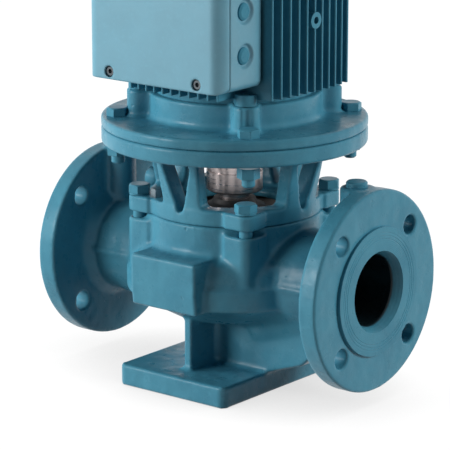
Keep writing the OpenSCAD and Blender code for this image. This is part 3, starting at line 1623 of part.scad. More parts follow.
pump_casing();
wear_ring();
casing_gasket();
gauge_plugs();
gauge_plug_rings();
seal_cover();
seal_seat();
seat_cup();
lantern();
jacking_screws();
lug_bolts();
lug_washers();
flange_bolts();
flange_washers();
flange_nuts();
drive_end_shield();
shield_screws();
lip_seal();
front_bearing_outer();
bearing_circlip();
motor_frame();
stator_core();
stator_windings();
rear_shield();
rear_shield_screws();
rear_bearing_outer();
wave_spring();
fan_cowl();
cowl_screws();
terminal_box();
box_screws();
cover_gasket();
terminal_cover();
cover_screws();
entry_plugs();
terminal_board();
board_screws();
terminal_studs();
terminal_links();
motor_shaft();
motor_key();
rotor_core();
rotor_end_rings();
front_bearing_inner();
rear_bearing_inner();
fan();
fan_circlip();
pump_shaft();
hub_grub_screws();
slinger();
seal_head();
seal_spring();
impeller();
impeller_key();
impeller_washer();
impeller_nut();
front_ball_set();
rear_ball_set();
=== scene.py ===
"""Looks of an in-line circulation pump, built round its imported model."""

import functools
import math

import bpy
from bpy.props import FloatProperty, FloatVectorProperty, PointerProperty
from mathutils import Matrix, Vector


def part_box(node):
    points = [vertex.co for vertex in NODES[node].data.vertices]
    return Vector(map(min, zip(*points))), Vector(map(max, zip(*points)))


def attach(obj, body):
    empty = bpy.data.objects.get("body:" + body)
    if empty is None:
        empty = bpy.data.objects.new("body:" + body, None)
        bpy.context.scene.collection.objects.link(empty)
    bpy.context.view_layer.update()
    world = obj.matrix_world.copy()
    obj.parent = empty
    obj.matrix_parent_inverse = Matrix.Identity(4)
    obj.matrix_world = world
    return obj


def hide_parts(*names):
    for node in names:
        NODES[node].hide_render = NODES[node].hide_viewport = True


bl_info = {
    "name": "In-line Circulation Pump",
    "version": (1, 0, 0),
    "blender": (4, 5, 0),
    "location": "View3D > Sidebar > Pump",
    "description": "Dresses an in-line circulation pump in cast enamel, machined steel and rubber",
    "category": "Object",
}

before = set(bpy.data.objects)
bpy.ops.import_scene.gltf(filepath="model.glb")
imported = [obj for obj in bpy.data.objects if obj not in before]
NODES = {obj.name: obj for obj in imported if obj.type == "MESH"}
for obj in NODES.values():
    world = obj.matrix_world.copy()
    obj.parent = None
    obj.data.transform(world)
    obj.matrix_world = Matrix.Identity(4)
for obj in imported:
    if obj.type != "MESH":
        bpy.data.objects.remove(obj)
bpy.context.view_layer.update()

MM = 0.001

# Measures of the pipe flanges, in metres
FACE_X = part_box("pump_casing")[1].x
PIPE_HEIGHT = 0.108
RAISED_FACE = 0.003

# Radii between which the passage's dark surface, bare iron with painted shade, ends at the bore
# and within a neck's wall
BORE_EDGE = (0.0328, 0.0336)
NECK_EDGE = (0.040, 0.043)

# Section of a flange's turned face, as millimetres from the axis and from the face
FACING = (
    (59.0, -3.6), (59.0, -0.4), (58.6, 0.0),
    (54.2, 0.0), (53.6, -0.28), (53.0, 0.0),
    (51.5, 0.0), (50.9, -0.28), (50.3, 0.0),
    (48.8, 0.0), (48.2, -0.28), (47.6, 0.0),
    (37.4, 0.0), (37.0, -0.4), (32.3, -10.2), (32.3, -14.0),
    (36.0, -14.0), (41.0, -3.6),
)

# Steps that a face is turned in, and the angle from which its edges stay sharp
TURNED_STEPS = 160
SHARP_ANGLE = math.radians(25)

# Half the foot's length and width, its top, and the radius of its corners in the model
FOOT_HALF = (0.0625, 0.094)
FOOT_TOP = 0.020
FOOT_CORNER = 0.004

# Widths of the patches where sprayed enamel gathers, is specked, changes gloss and rubs off
GATHERED_PATCH = 0.035
SPECK = 0.004
GLOSS_PATCH = 0.012
RUBBED_PATCH = 0.003

# Widths and depths of the hollows and pits that the sand mould leaves
HOLLOW_WIDTH = 0.019
HOLLOW_DEPTH = 0.0011
PIT_WIDTH = 0.007
PIT_DEPTH = 0.0004

# Depth of turned rings, and the period of Blender's wave texture at a scale of 1
RING_DEPTH = 0.00005
WAVE_PERIOD = 0.314

# Colour of the bare iron in the water passage, darkened to painted shade, as dark as it looks from
# outside
PASSAGE_SHADE_COLOUR = (0.006, 0.014, 0.018)

# Reach of the painted shade in the passage and of the painted shadow that the pump throws on the
# floor
PASSAGE_REACH = 0.09
FLOOR_REACH = 0.11

# Radii of the edges that wear bright on enamel and on bare metal
ENAMEL_WEAR = 0.0006
METAL_WEAR = 0.0005

# Width of stains on bare metal, and of the grain of moulded pieces
STAIN_WIDTH = 0.02
MOULDED_GRAIN = 0.0015

# Cells that the rounding keeps beyond the distance by which it shifts a surface
SPARE_CELLS = 3

# Side of each square lamp and the point that the lamps aim at
LAMP_SIZE = 0.9
LAMP_AIM = (0, 0, 0.25)

# Share of the floor that the camera sees glow, and the strength of the room's light on the pump
FLOOR_GLOW = 0.92
ROOM_LIGHT = 0.01


# Settings that a user would change


class EnamelSettings(bpy.types.PropertyGroup):
    """The sprayed enamel on castings, motor and box"""

    colour: FloatVectorProperty(
        name="Enamel",
        description="Colour of the enamel where it lies evenly",
        subtype="COLOR",
        size=3,
        min=0,
        max=1,
        default=(0.066, 0.262, 0.360),
    )
    shade: FloatVectorProperty(
        name="Thick enamel",
        description="Colour of the enamel where it has gathered",
        subtype="COLOR",
        size=3,
        min=0,
        max=1,
        default=(0.050, 0.218, 0.310),
    )
    # The box's enamel is paler by a painted sheen, which stands for the lamps' highlights on its
    # smooth faces
    box_colour_with_sheen: FloatVectorProperty(
        name="Box enamel",
        description="Colour of the smoother, paler enamel on the terminal box",
        subtype="COLOR",
        size=3,
        min=0,
        max=1,
        default=(0.122, 0.330, 0.430),
    )
    roughness: FloatProperty(
        name="Roughness",
        description="Roughness of the enamel on castings",
        min=0.05,
        max=1,
        default=0.32,
    )
    sand_grain: FloatProperty(
        name="Sand grain",
        description="Width of the grain that the sand mould leaves",
        subtype="DISTANCE",
        unit="LENGTH",
        min=0.0005,
        max=0.01,
        default=0.0022,
    )


class CastingSettings(bpy.types.PropertyGroup):
    """How the mould rounds the castings"""

    fillet: FloatProperty(
        name="Fillet",
        description="Radius of the fillets in inner corners of the castings",
        subtype="DISTANCE",
        unit="LENGTH",
        min=0.001,
        max=0.01,
        default=0.004,
    )
    narrow_fillet: FloatProperty(
        name="Narrow fillet",
        description="Radius of the fillets in the lantern, whose windows are narrow",
        subtype="DISTANCE",
        unit="LENGTH",
        min=0.001,
        max=0.0034,
        default=0.0025,
    )
    edge: FloatProperty(
        name="Edge",
        description="Radius on the outer edges of the castings",
        subtype="DISTANCE",
        unit="LENGTH",
        min=0.0002,
        max=0.004,
        default=0.0008,
    )
    foot_corner: FloatProperty(
        name="Foot corner",
        description="Radius on the upright corners of the foot",
        subtype="DISTANCE",
        unit="LENGTH",
        min=0.004,
        max=0.02,
        default=0.0075,
    )
    cell: FloatProperty(
        name="Cell",
        description="Size of the cells that the castings are rounded in",
        subtype="DISTANCE",
        unit="LENGTH",
        min=0.0008,
        max=0.004,
        default=0.00125,
    )


class StageSettings(bpy.types.PropertyGroup):
    """Camera, floor and lamps"""

    azimuth: FloatProperty(
        name="Azimuth",
        description="Direction of the camera, from the terminal box towards the suction flange",
        subtype="ANGLE",
        unit="ROTATION",
        default=math.radians(38.68),
    )
    elevation: FloatProperty(
        name="Elevation",
        description="Height angle of the camera",
        subtype="ANGLE",
        unit="ROTATION",
        default=math.radians(14.31),
    )
    distance: FloatProperty(
        name="Distance",
        description="Distance of the camera from the point it looks at",
        subtype="DISTANCE",
        unit="LENGTH",
        min=0.5,
        max=10,
        default=2.482,
    )
    target: FloatVectorProperty(
        name="Target",
        description="Point that the camera looks at",
        subtype="XYZ",
        unit="LENGTH",
        size=3,
        default=(-0.01133, 0.0, 0.14166),
    )
    lens: FloatProperty(
        name="Lens",
        description="Focal length of the camera in millimetres",
        min=20,
        max=400,
        default=213.5,
    )
    key_power: FloatProperty(
        name="Key lamp",
        description="Power of the lamp in front of the terminal box",
        subtype="POWER",
        unit="POWER",
        min=0,
        max=500,
        default=31,
    )
    left_power: FloatProperty(
        name="Left lamp",
        description="Power of the lamp at the left",
        subtype="POWER",
        unit="POWER",
        min=0,
        max=500,
        default=57,
    )
    right_power: FloatProperty(
        name="Right lamp",
        description="Power of the lamp behind and to the right",
        subtype="POWER",
        unit="POWER",
        min=0,
        max=500,
        default=48,
    )
    floor_size: FloatProperty(
        name="Floor",
        description="Side of the square floor",
        subtype="DISTANCE",
        unit="LENGTH",
        min=1,
        max=40,
        default=12,
    )


class PumpSettings(bpy.types.PropertyGroup):
    """All settings of the pump's looks"""

    enamel: PointerProperty(type=EnamelSettings)
    casting: PointerProperty(type=CastingSettings)
    stage: PointerProperty(type=StageSettings)


# Node building for materials


class Shades:
    """A material's node tree, with short calls for the nodes that the finishes share"""

    def __init__(self, name):
        self.material = bpy.data.materials.new(name)
        self.material.use_nodes = True
        self.tree = self.material.node_tree
        self.shader = self.tree.nodes["Principled BSDF"]
        self.place = self.add("ShaderNodeTexCoord").outputs["Object"]

    def add(self, kind, **values):
        """Adds a node, with values for its inputs by name or else for its settings"""
        node = self.tree.nodes.new(kind)
        for name, value in values.items():
            if name in node.inputs:
                node.inputs[name].default_value = value
            else:
                setattr(node, name, value)
        return node

    def link(self, source, target):
        """Leads an output to an input"""
        self.tree.links.new(source, target)

    def noise(self, size, detail=3.0, stretch=(1, 1, 1)):
        """Noise whose features are about size metres across"""
        mapping = self.add("ShaderNodeMapping")
        mapping.inputs["Scale"].default_value = stretch
        self.link(self.place, mapping.inputs["Vector"])
        noise = self.add("ShaderNodeTexNoise", Scale=1 / size, Detail=detail, Roughness=0.55)
        self.link(mapping.outputs["Vector"], noise.inputs["Vector"])
        return noise.outputs["Fac"]

    def spread(self, source, low, high, span=(0.35, 0.65)):
        """Maps a value from a span, here a noise's middle range unless given, onto low to high"""
        node = self.add("ShaderNodeMapRange")
        node.inputs["From Min"].default_value = span[0]
        node.inputs["From Max"].default_value = span[1]
        node.inputs["To Min"].default_value = low
        node.inputs["To Max"].default_value = high
        self.link(source, node.inputs["Value"])
        return node.outputs["Result"]

    def mix(self, factor, first, second):
        """Mixes two colours, each a colour or an output"""
        node = self.add("ShaderNodeMix", data_type="RGBA")
        self.link(factor, node.inputs[0])
        for socket, value in ((node.inputs[6], first), (node.inputs[7], second)):
            if isinstance(value, bpy.types.NodeSocket):
                self.link(value, socket)
            else:
                socket.default_value = (*value, 1)
        return node.outputs[2]

    def bump(self, source, depth, normal=None):
        """Raises the surface by up to depth metres, over a normal that is there already"""
        node = self.add("ShaderNodeBump", Distance=depth, Strength=1.0)
        self.link(source, node.inputs["Height"])
        if normal is not None:
            self.link(normal, node.inputs["Normal"])
        return node.outputs["Normal"]

    def passage(self):
        """White inside the water passage, which has no enamel, and black elsewhere

        It is all that lies within the bore's radius, and what a neck's wall shelters deeply; the
        mask paints shade over the bare iron there, and the sheltered part is painted shade from
        ambient occlusion.
        """
        place = self.add("ShaderNodeNewGeometry").outputs["Position"]
        across = self.add("ShaderNodeVectorMath", operation="MULTIPLY_ADD")
        self.link(place, across.inputs[0])
        across.inputs[1].default_value = (0, 1, 1)
        across.inputs[2].default_value = (0, 0, -PIPE_HEIGHT)
        radius = self.add("ShaderNodeVectorMath", operation="LENGTH")
        self.link(across.outputs[0], radius.inputs[0])
        bore = self.spread(radius.outputs["Value"], 1.0, 0.0, span=BORE_EDGE)
        near = self.spread(radius.outputs["Value"], 1.0, 0.0, span=NECK_EDGE)
        # Painted shade from ambient occlusion, where a neck's wall shelters the passage
        painted_shade_ao = self.add("ShaderNodeAmbientOcclusion", samples=6, Distance=PASSAGE_REACH)
        painted_deep_shade = self.add("ShaderNodeMath", operation="MULTIPLY")
        self.link(near, painted_deep_shade.inputs[0])
        dim = self.spread(painted_shade_ao.outputs["AO"], 1.0, 0.0, span=(0.02, 0.10))
        self.link(dim, painted_deep_shade.inputs[1])
        either = self.add("ShaderNodeMath", operation="MAXIMUM")
        self.link(bore, either.inputs[0])
        self.link(painted_deep_shade.outputs[0], either.inputs[1])
        return either.outputs[0]

    def edges(self, radius):
        """White along worn edges and black on flat faces"""
        bevel = self.add("ShaderNodeBevel", samples=4)
        bevel.inputs["Radius"].default_value = radius
        geometry = self.add("ShaderNodeNewGeometry")
        dot = self.add("ShaderNodeVectorMath", operation="DOT_PRODUCT")
        self.link(bevel.outputs["Normal"], dot.inputs[0])
        self.link(geometry.outputs["Normal"], dot.inputs[1])
        return self.spread(dot.outputs["Value"], 1.0, 0.0, span=(0.80, 0.97))


def enamel(
    name, settings, grain=None, depth=0.00009, roughness=None, gloss=0.2,
    soft=0.0, worn=0.0, rings=0.0, cast=False, colours=None,
):
    """Sprayed enamel: colour that gathers unevenly over the grain of the metal below

    grain and depth are the grain's width and depth, soft the radius that edges seem to have, worn
    how far they are rubbed, rings the distance of turned rings, and cast adds hollows and pits.
    cast and rings also darken the water passage with painted shade over its bare iron.
    """
    s = Shades(name)
    light, dark = colours or (list(settings.colour), list(settings.shade))
    gathered = s.spread(s.noise(GATHERED_PATCH, detail=4), 0.0, 1.0)
    colour = s.mix(gathered, light, dark)
    speck = s.spread(s.noise(SPECK, detail=2), 0.0, 0.35, span=(0.55, 0.75))
    paler = [c * 1.12 for c in light]
    colour = s.mix(speck, colour, paler)
    if worn:
        rubbed = s.add("ShaderNodeMath", operation="MULTIPLY")
        s.link(s.edges(ENAMEL_WEAR), rubbed.inputs[0])
        s.link(s.spread(s.noise(RUBBED_PATCH), 0.0, worn), rubbed.inputs[1])
        thin = [min(1, c * 1.9 + 0.05) for c in light]
        colour = s.mix(rubbed.outputs[0], colour, thin)
    # Painted shade: the bare iron in the water passage is darkened to look as it does in its own
    # shadow
    if cast or rings:
        colour = s.mix(s.passage(), colour, PASSAGE_SHADE_COLOUR)
    s.link(colour, s.shader.inputs["Base Color"])
    rough = settings.roughness if roughness is None else roughness
    patches = s.spread(s.noise(GLOSS_PATCH), rough - 0.06, rough + 0.07)
    s.link(patches, s.shader.inputs["Roughness"])
    grain = grain or settings.sand_grain
    edge = None
    if soft:
        edge = s.add("ShaderNodeBevel", samples=6, Radius=soft).outputs["Normal"]
    normal = s.bump(s.noise(grain, detail=5), depth, edge)
    normal = s.bump(s.noise(grain * 6, detail=2), depth * 2.2, normal)
    if cast:
        normal = s.bump(s.noise(HOLLOW_WIDTH, detail=1), HOLLOW_DEPTH, normal)
        pits = s.spread(s.noise(PIT_WIDTH, detail=1), 0.0, -1.0, span=(0.74, 0.84))
        normal = s.bump(pits, PIT_DEPTH, normal)
    if rings:
        scale = WAVE_PERIOD / rings
        wave = s.add("ShaderNodeTexWave", wave_type="RINGS", rings_direction="X", Scale=scale)
        s.link(s.place, wave.inputs["Vector"])
        normal = s.bump(wave.outputs["Fac"], RING_DEPTH, normal)
    s.link(normal, s.shader.inputs["Normal"])
    s.shader.inputs["Specular IOR Level"].default_value = gloss
    return s.material


def metal(
    name, light, dark, roughness, stretch=(1, 1, 1), size=0.0012, depth=0.00001, worn=None,
):
    """Bare metal with the marks of its machining and a little staining

    stretch draws the marks out, size and depth are theirs, and worn is the colour of worn edges.
    """
    s = Shades(name)
    marks = s.noise(size, detail=4, stretch=stretch)
    colour = s.mix(s.spread(s.noise(STAIN_WIDTH, detail=4), 0.0, 1.0), light, dark)
    if worn:
        colour = s.mix(s.edges(METAL_WEAR), colour, worn)
    s.link(colour, s.shader.inputs["Base Color"])
    s.link(s.spread(marks, roughness - 0.07, roughness + 0.09), s.shader.inputs["Roughness"])
    s.link(s.bump(marks, depth), s.shader.inputs["Normal"])
    s.shader.inputs["Metallic"].default_value = 1.0
    return s.material


def moulded(name, light, dark, roughness, depth=0.00003):
    """Plastic, rubber, fibre or ceramic with a fine moulded surface"""
    s = Shades(name)
    colour = s.mix(s.spread(s.noise(MOULDED_GRAIN * 9), 0.0, 1.0), light, dark)
    s.link(colour, s.shader.inputs["Base Color"])
    patches = s.spread(s.noise(MOULDED_GRAIN * 3), roughness - 0.05, roughness + 0.06)
    s.link(patches, s.shader.inputs["Roughness"])
    s.link(s.bump(s.noise(MOULDED_GRAIN, detail=4), depth), s.shader.inputs["Normal"])
    return s.material


def dress(nodes, material):
    """Gives every slot of these CAD nodes one material"""
    for name in nodes:
        mesh = NODES[name].data
        mesh.materials.clear()
        mesh.materials.append(material)


# Cast skins


def rounding(name, fillet, edge, cell):
    """Geometry nodes that fill inner corners with fillets and break outer edges

    The surface moves out by the fillet, in by the fillet and the edge, and out again by the edge.
    """
    tree = bpy.data.node_groups.new(name, "GeometryNodeTree")
    tree.interface.new_socket(name="Mesh", in_out="INPUT", socket_type="NodeSocketGeometry")
    tree.interface.new_socket(name="Mesh", in_out="OUTPUT", socket_type="NodeSocketGeometry")
    last = tree.nodes.new("NodeGroupInput").outputs[0]
    for shift in (fillet, -fillet - edge, edge):
        grid = tree.nodes.new("GeometryNodeMeshToSDFGrid")
        grid.inputs["Voxel Size"].default_value = cell
        grid.inputs["Band Width"].default_value = int(abs(shift) / cell) + SPARE_CELLS
        skin = tree.nodes.new("GeometryNodeGridToMesh")
        skin.inputs["Threshold"].default_value = shift
        tree.links.new(last, grid.inputs["Mesh"])
        tree.links.new(grid.outputs[0], skin.inputs["Grid"])
        last = skin.outputs[0]
    smooth = tree.nodes.new("GeometryNodeSetShadeSmooth")
    tree.links.new(last, smooth.inputs[0])
    tree.links.new(smooth.outputs[0], tree.nodes.new("NodeGroupOutput").inputs[0])
    return tree


def soften_casing(mesh, flat, corner):
    """Cuts the raised faces back to flat on the X axis and gives the foot its larger corners"""
    inner = [half - FOOT_CORNER for half in FOOT_HALF]
    middle = [half - corner for half in FOOT_HALF]
    for vertex in mesh.vertices:
        spot = vertex.co
        spot.x = max(-flat, min(flat, spot.x))
        out = Vector((abs(spot.x) - inner[0], abs(spot.y) - inner[1]))
        if min(out) > -0.1 * MM and spot.z < FOOT_TOP + MM:
            reach = out.length + corner - FOOT_CORNER
            out = out.normalized() * reach
            spot.x = math.copysign(middle[0] + out.x, spot.x)
            spot.y = math.copysign(middle[1] + out.y, spot.y)


def cast_skin(node, name, tree, material, shape=None):
    """A rounded skin that stands for a cast node, which shape may reshape first"""
    mesh = NODES[node].data.copy()
    if shape:
        shape(mesh)
    draft = bpy.data.objects.new(name + "_draft", mesh)
    bpy.context.scene.collection.objects.link(draft)
    modifier = draft.modifiers.new("rounding", "NODES")
    modifier.node_group = tree
    evaluated = draft.evaluated_get(bpy.context.evaluated_depsgraph_get())
    mesh = bpy.data.meshes.new_from_object(evaluated)
    bpy.data.objects.remove(draft)
    mesh.name = name
    mesh.materials.clear()
    mesh.materials.append(material)
    skin = bpy.data.objects.new(name, mesh)
    bpy.context.scene.collection.objects.link(skin)
    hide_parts(node)
    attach(skin, "pump_body")


def turned_face(name, side, material):
    """The raised face of one flange as the lathe leaves it, with its sealing grooves and mouth"""
    points, faces = [], []
    for step in range(TURNED_STEPS):
        angle = math.tau * step / TURNED_STEPS
        for radius, along in FACING:
            reach = radius * MM
            points.append((side * along * MM, reach * math.cos(angle), reach * math.sin(angle)))
    count = len(FACING)
    for step in range(TURNED_STEPS):
        here, there = step * count, (step + 1) % TURNED_STEPS * count
        for point in range(count):
            after = (point + 1) % count
            faces.append((here + point, here + after, there + after, there + point)[::-side])
    mesh = bpy.data.meshes.new(name)
    mesh.from_pydata(points, [], faces)
    mesh.polygons.foreach_set("use_smooth", [True] * len(faces))
    mesh.set_sharp_from_angle(angle=SHARP_ANGLE)
    mesh.materials.append(material)
    face = bpy.data.objects.new(name, mesh)
    face.location = (side * FACE_X, 0, PIPE_HEIGHT)
    bpy.context.scene.collection.objects.link(face)
    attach(face, "pump_body")


# Operators, one for each group of like pieces


class PUMP_OT_castings(bpy.types.Operator):
    """Rounds and enamels the casing, the lantern and the motor's end shield"""

    bl_idname = "pump.castings"
    bl_label = "Castings"

    def execute(self, context):
        settings = context.scene.pump
        cast = settings.casting
        paint = enamel("cast_enamel", settings.enamel, gloss=0.26, cast=True)
        tree = rounding("cast_rounding", cast.fillet, cast.edge, cast.cell)
        soften = functools.partial(
            soften_casing, flat=FACE_X - RAISED_FACE, corner=cast.foot_corner,
        )
        cast_skin("pump_casing", "casing_skin", tree, paint, soften)
        fine = rounding("narrow_rounding", cast.narrow_fillet, cast.edge, cast.cell)
        cast_skin("lantern", "lantern_skin", fine, paint)
        cast_skin("drive_end_shield", "shield_skin", fine, paint)
        turned = enamel(
            "turned_enamel", settings.enamel, grain=0.0015, depth=0.00003, rings=0.0016,
        )
        turned_face("suction_face", 1, turned)
        turned_face("discharge_face", -1, turned)
        return {"FINISHED"}


class PUMP_OT_motor_shell(bpy.types.Operator):
    """Enamels the finned frame, the rear shield and the fan cowl"""

    bl_idname = "pump.motor_shell"
    bl_label = "Motor Shell"

    def execute(self, context):
        settings = context.scene.pump.enamel
        paint = enamel(
            "frame_enamel", settings, grain=0.0014, depth=0.00005, roughness=0.38, soft=0.0008,
        )
        dress(["motor_frame", "rear_shield"], paint)
        sheet = enamel(
            "cowl_enamel", settings, grain=0.003, depth=0.00002, roughness=0.34, soft=0.002,
        )
        dress(["fan_cowl"], sheet)
        return {"FINISHED"}


class PUMP_OT_terminal_box(bpy.types.Operator):
    """Enamels the terminal box and finishes what is inside it"""

    bl_idname = "pump.terminal_box"
    bl_label = "Terminal Box"

    def execute(self, context):
        settings = context.scene.pump.enamel
        # Painted sheen: the box's paler colour stands for the lamps' highlights on its smooth
        # enamel
        pale = list(settings.box_colour_with_sheen)
        thick = [c * 0.93 for c in pale]
        paint = enamel(
            "box_enamel_with_sheen", settings, grain=0.0012, depth=0.00004, roughness=0.42, gloss=0.8,
            soft=0.003, colours=(pale, thick),
        )
        dress(["terminal_box", "terminal_cover"], paint)
        plug = enamel("plug_enamel", settings, grain=0.0012, depth=0.00004, gloss=0.1, soft=0.001)
        dress(["entry_plugs"], plug)
        rubber = moulded("gasket_rubber", (0.018, 0.018, 0.018), (0.03, 0.03, 0.03), 0.7)
        dress(["cover_gasket"], rubber)
        board = moulded("board_resin", (0.16, 0.07, 0.03), (0.11, 0.05, 0.02), 0.5)
        dress(["terminal_board"], board)
        brass = metal("terminal_brass", (0.62, 0.45, 0.19), (0.50, 0.35, 0.14), 0.3)
        dress(["terminal_studs", "terminal_links"], brass)
        zinc = metal("zinc_steel", (0.62, 0.62, 0.60), (0.48, 0.48, 0.47), 0.32)
        dress(["box_screws", "board_screws", "cowl_screws"], zinc)
        dull = metal("dull_steel", (0.13, 0.15, 0.16), (0.08, 0.09, 0.10), 0.38)
        dress(["cover_screws"], dull)
        return {"FINISHED"}


class PUMP_OT_fasteners(bpy.types.Operator):
    """Finishes the bolts, nuts, washers, screws and gauge plugs outside"""

    bl_idname = "pump.fasteners"
    bl_label = "Fasteners"

    def execute(self, context):
        settings = context.scene.pump.enamel
        painted = enamel(
            "bolt_enamel", settings, grain=0.0008, depth=0.00003, roughness=0.33,
            soft=0.0008, worn=0.7,
        )
        dress(["flange_bolts", "flange_nuts", "lug_bolts", "lug_washers"], painted)
        dress(["gauge_plugs", "gauge_plug_rings"], painted)
        black = metal(
            "black_steel", (0.10, 0.17, 0.20), (0.06, 0.11, 0.13), 0.33, worn=(0.26, 0.34, 0.37),
        )
        dress(["shield_screws", "rear_shield_screws"], black)
        washers = metal("washer_steel", (0.24, 0.30, 0.33), (0.15, 0.20, 0.23), 0.36)
        dress(["flange_washers", "jacking_screws"], washers)
        return {"FINISHED"}


class PUMP_OT_running_parts(bpy.types.Operator):
    """Finishes the shafts, the impeller, the seal, the bearings and the fan"""

    bl_idname = "pump.running_parts"
    bl_label = "Running Parts"

    def execute(self, context):
        turned = metal(
            "turned_steel", (0.56, 0.49, 0.48), (0.45, 0.39, 0.38), 0.30,
            stretch=(0.02, 0.02, 1), size=0.0016, depth=0.0000004,
        )
        dress(["pump_shaft", "motor_shaft", "motor_key", "impeller_key"], turned)
        bronze = metal("bronze", (0.55, 0.34, 0.16), (0.42, 0.25, 0.11), 0.38)
        dress(["impeller", "wear_ring"], bronze)
        bright = metal("ground_steel", (0.66, 0.66, 0.66), (0.56, 0.56, 0.57), 0.2)
        for end in ("front", "rear"):
            dress([f"{end}_bearing_outer", f"{end}_bearing_inner", f"{end}_ball_set"], bright)
        dress(["seal_spring", "wave_spring"], bright)
        dress(["impeller_washer", "impeller_nut"], bright)
        rubber = moulded("seal_rubber", (0.015, 0.015, 0.016), (0.03, 0.03, 0.03), 0.6)
        dress(["slinger", "lip_seal", "seat_cup", "seal_head"], rubber)
        ceramic = moulded(
            "ceramic", (0.82, 0.80, 0.74), (0.76, 0.74, 0.68), 0.25, depth=0.000005,
        )
        dress(["seal_seat"], ceramic)
        plastic = moulded("fan_plastic", (0.025, 0.025, 0.028), (0.04, 0.04, 0.045), 0.5)
        dress(["fan"], plastic)
        black = metal("clip_steel", (0.12, 0.12, 0.12), (0.07, 0.07, 0.07), 0.4)
        dress(["bearing_circlip", "fan_circlip", "hub_grub_screws"], black)
        return {"FINISHED"}


class PUMP_OT_inner_parts(bpy.types.Operator):
    """Finishes the seal cover, the casing gasket, the windings and the motor's cores"""

    bl_idname = "pump.inner_parts"
    bl_label = "Inner Parts"

    def execute(self, context):
        iron = metal(
            "machined_iron", (0.30, 0.29, 0.28), (0.20, 0.19, 0.18), 0.45,
            size=0.0015, depth=0.00003,
        )
        dress(["seal_cover"], iron)
        fibre = moulded("gasket_fibre", (0.10, 0.13, 0.12), (0.07, 0.09, 0.09), 0.8)
        dress(["casing_gasket"], fibre)
        stack = metal(
            "stacked_sheet", (0.34, 0.34, 0.35), (0.24, 0.24, 0.25), 0.45,
            stretch=(0.01, 0.01, 1), size=0.0006, depth=0.00004,
        )
        dress(["stator_core", "rotor_core"], stack)
        wire = metal(
            "varnished_copper", (0.50, 0.21, 0.09), (0.34, 0.13, 0.05), 0.35,
            size=0.001, depth=0.0002,
        )
        dress(["stator_windings"], wire)
        aluminium = metal(
            "cast_aluminium", (0.68, 0.68, 0.69), (0.56, 0.56, 0.57), 0.45, depth=0.00004,
        )
        dress(["rotor_end_rings"], aluminium)
        return {"FINISHED"}


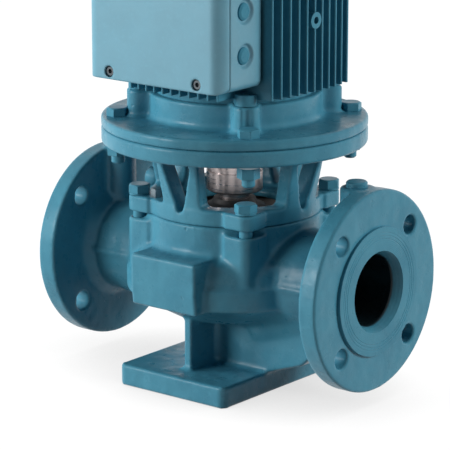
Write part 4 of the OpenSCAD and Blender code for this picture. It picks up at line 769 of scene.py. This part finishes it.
class PUMP_OT_stage(bpy.types.Operator):
    """Sets the pale floor, the soft studio light and the camera"""

    bl_idname = "pump.stage"
    bl_label = "Stage"

    def execute(self, context):
        scene = context.scene
        settings = scene.pump.stage
        scene.view_settings.view_transform = "Standard"
        self.floor(settings)
        self.world(scene)
        self.lamp("key", (-1.2, -2.15, 0.85), settings.key_power)
        self.lamp("left", (-2.15, -1.25, 0.6), settings.left_power).visible_glossy = False
        self.lamp("right", (2.15, 1.15, 1.0), settings.right_power).visible_glossy = False
        self.camera(scene, settings)
        return {"FINISHED"}

    @staticmethod
    def seen_white(tree):
        """1 for what the camera, mirrors and glass see, 0 for the light that falls on the pump"""
        nodes, links = tree.nodes, tree.links
        path = nodes.new("ShaderNodeLightPath")
        total = path.outputs["Is Camera Ray"]
        for name in ("Is Glossy Ray", "Is Transmission Ray"):
            larger = nodes.new("ShaderNodeMath")
            larger.operation = "MAXIMUM"
            links.new(total, larger.inputs[0])
            links.new(path.outputs[name], larger.inputs[1])
            total = larger.outputs[0]
        return total

    def floor(self, settings):
        """A floor that looks white to the camera, with a painted shadow where the pump stands over
        it
        """
        half = settings.floor_size / 2
        mesh = bpy.data.meshes.new("floor")
        corners = [(-half, -half, 0), (half, -half, 0), (half, half, 0), (-half, half, 0)]
        mesh.from_pydata(corners, [], [(0, 1, 2, 3)])
        floor = bpy.data.objects.new("floor", mesh)
        bpy.context.scene.collection.objects.link(floor)
        s = Shades("pale_floor")
        colour = s.mix(s.noise(0.4), (0.40, 0.40, 0.40), (0.37, 0.37, 0.375))
        s.link(colour, s.shader.inputs["Base Color"])
        s.shader.inputs["Roughness"].default_value = 0.6
        s.shader.inputs["Specular IOR Level"].default_value = 0.2
        glow = s.add("ShaderNodeEmission")
        glow.inputs["Color"].default_value = (1, 1, 1, 1)
        # Painted shadow: the floor's glow dims by ambient occlusion where the pump stands over it
        painted_shade_ao = s.add("ShaderNodeAmbientOcclusion", samples=8, Distance=FLOOR_REACH)
        strength = s.spread(painted_shade_ao.outputs["AO"], 0.70, 1.11, span=(0.0, 0.9))
        s.link(strength, glow.inputs["Strength"])
        blend = s.add("ShaderNodeMixShader")
        share = s.add("ShaderNodeMath", operation="MULTIPLY")
        s.link(self.seen_white(s.tree), share.inputs[0])
        share.inputs[1].default_value = FLOOR_GLOW
        s.link(share.outputs[0], blend.inputs[0])
        s.link(s.shader.outputs[0], blend.inputs[1])
        s.link(glow.outputs[0], blend.inputs[2])
        s.link(blend.outputs[0], s.tree.nodes["Material Output"].inputs["Surface"])
        mesh.materials.append(s.material)

    def world(self, scene):
        """A room that is white to look at and lights the pump only a little"""
        world = bpy.data.worlds.new("studio")
        scene.world = world
        world.use_nodes = True
        tree = world.node_tree
        background = tree.nodes["Background"]
        share = self.seen_white(tree)
        strength = tree.nodes.new("ShaderNodeMapRange")
        strength.inputs["To Min"].default_value = ROOM_LIGHT
        strength.inputs["To Max"].default_value = 1.0
        tree.links.new(share, strength.inputs["Value"])
        background.inputs["Color"].default_value = (1, 1, 1, 1)
        tree.links.new(strength.outputs["Result"], background.inputs["Strength"])

    @staticmethod
    def lamp(name, place, power):
        """A square lamp that aims at the pump and that the camera doesn't see"""
        light = bpy.data.lights.new(name, "AREA")
        light.shape = "SQUARE"
        light.size = LAMP_SIZE
        light.energy = power
        lamp = bpy.data.objects.new(name, light)
        lamp.location = place
        aim = Vector(LAMP_AIM) - Vector(place)
        lamp.rotation_mode = "QUATERNION"
        lamp.rotation_quaternion = aim.to_track_quat("-Z", "Y")
        lamp.visible_camera = False
        bpy.context.scene.collection.objects.link(lamp)
        return lamp

    @staticmethod
    def camera(scene, settings):
        """The camera, turned about the point that it looks at"""
        azimuth, elevation = settings.azimuth, settings.elevation
        back = Vector((
            math.sin(azimuth) * math.cos(elevation),
            -math.cos(azimuth) * math.cos(elevation),
            math.sin(elevation),
        ))
        data = bpy.data.cameras.new("camera")
        data.sensor_width = 36
        data.lens = settings.lens
        data.clip_start = 0.05
        data.clip_end = 50
        camera = bpy.data.objects.new("camera", data)
        camera.location = Vector(settings.target) + back * settings.distance
        camera.rotation_mode = "QUATERNION"
        camera.rotation_quaternion = (-back).to_track_quat("-Z", "Y")
        scene.collection.objects.link(camera)
        scene.camera = camera


class PUMP_PT_panel(bpy.types.Panel):
    """Lists the pump's settings and the buttons that dress its pieces"""

    bl_label = "Circulation Pump"
    bl_idname = "PUMP_PT_panel"
    bl_space_type = "VIEW_3D"
    bl_region_type = "UI"
    bl_category = "Pump"

    def draw(self, context):
        settings = context.scene.pump
        for group in (settings.enamel, settings.casting, settings.stage):
            box = self.layout.box()
            for name in group.__annotations__:
                box.prop(group, name)
        for operator in OPERATORS:
            self.layout.operator(operator.bl_idname)


OPERATORS = (
    PUMP_OT_castings,
    PUMP_OT_motor_shell,
    PUMP_OT_terminal_box,
    PUMP_OT_fasteners,
    PUMP_OT_running_parts,
    PUMP_OT_inner_parts,
    PUMP_OT_stage,
)
CLASSES = (EnamelSettings, CastingSettings, StageSettings, PumpSettings, *OPERATORS, PUMP_PT_panel)


def register():
    for cls in CLASSES:
        bpy.utils.register_class(cls)
    bpy.types.Scene.pump = PointerProperty(type=PumpSettings)


def unregister():
    del bpy.types.Scene.pump
    for cls in reversed(CLASSES):
        bpy.utils.unregister_class(cls)


def main():
    register()
    bpy.ops.pump.castings()
    bpy.ops.pump.motor_shell()
    bpy.ops.pump.terminal_box()
    bpy.ops.pump.fasteners()
    bpy.ops.pump.running_parts()
    bpy.ops.pump.inner_parts()
    bpy.ops.pump.stage()


if __name__ == "__main__":
    main()
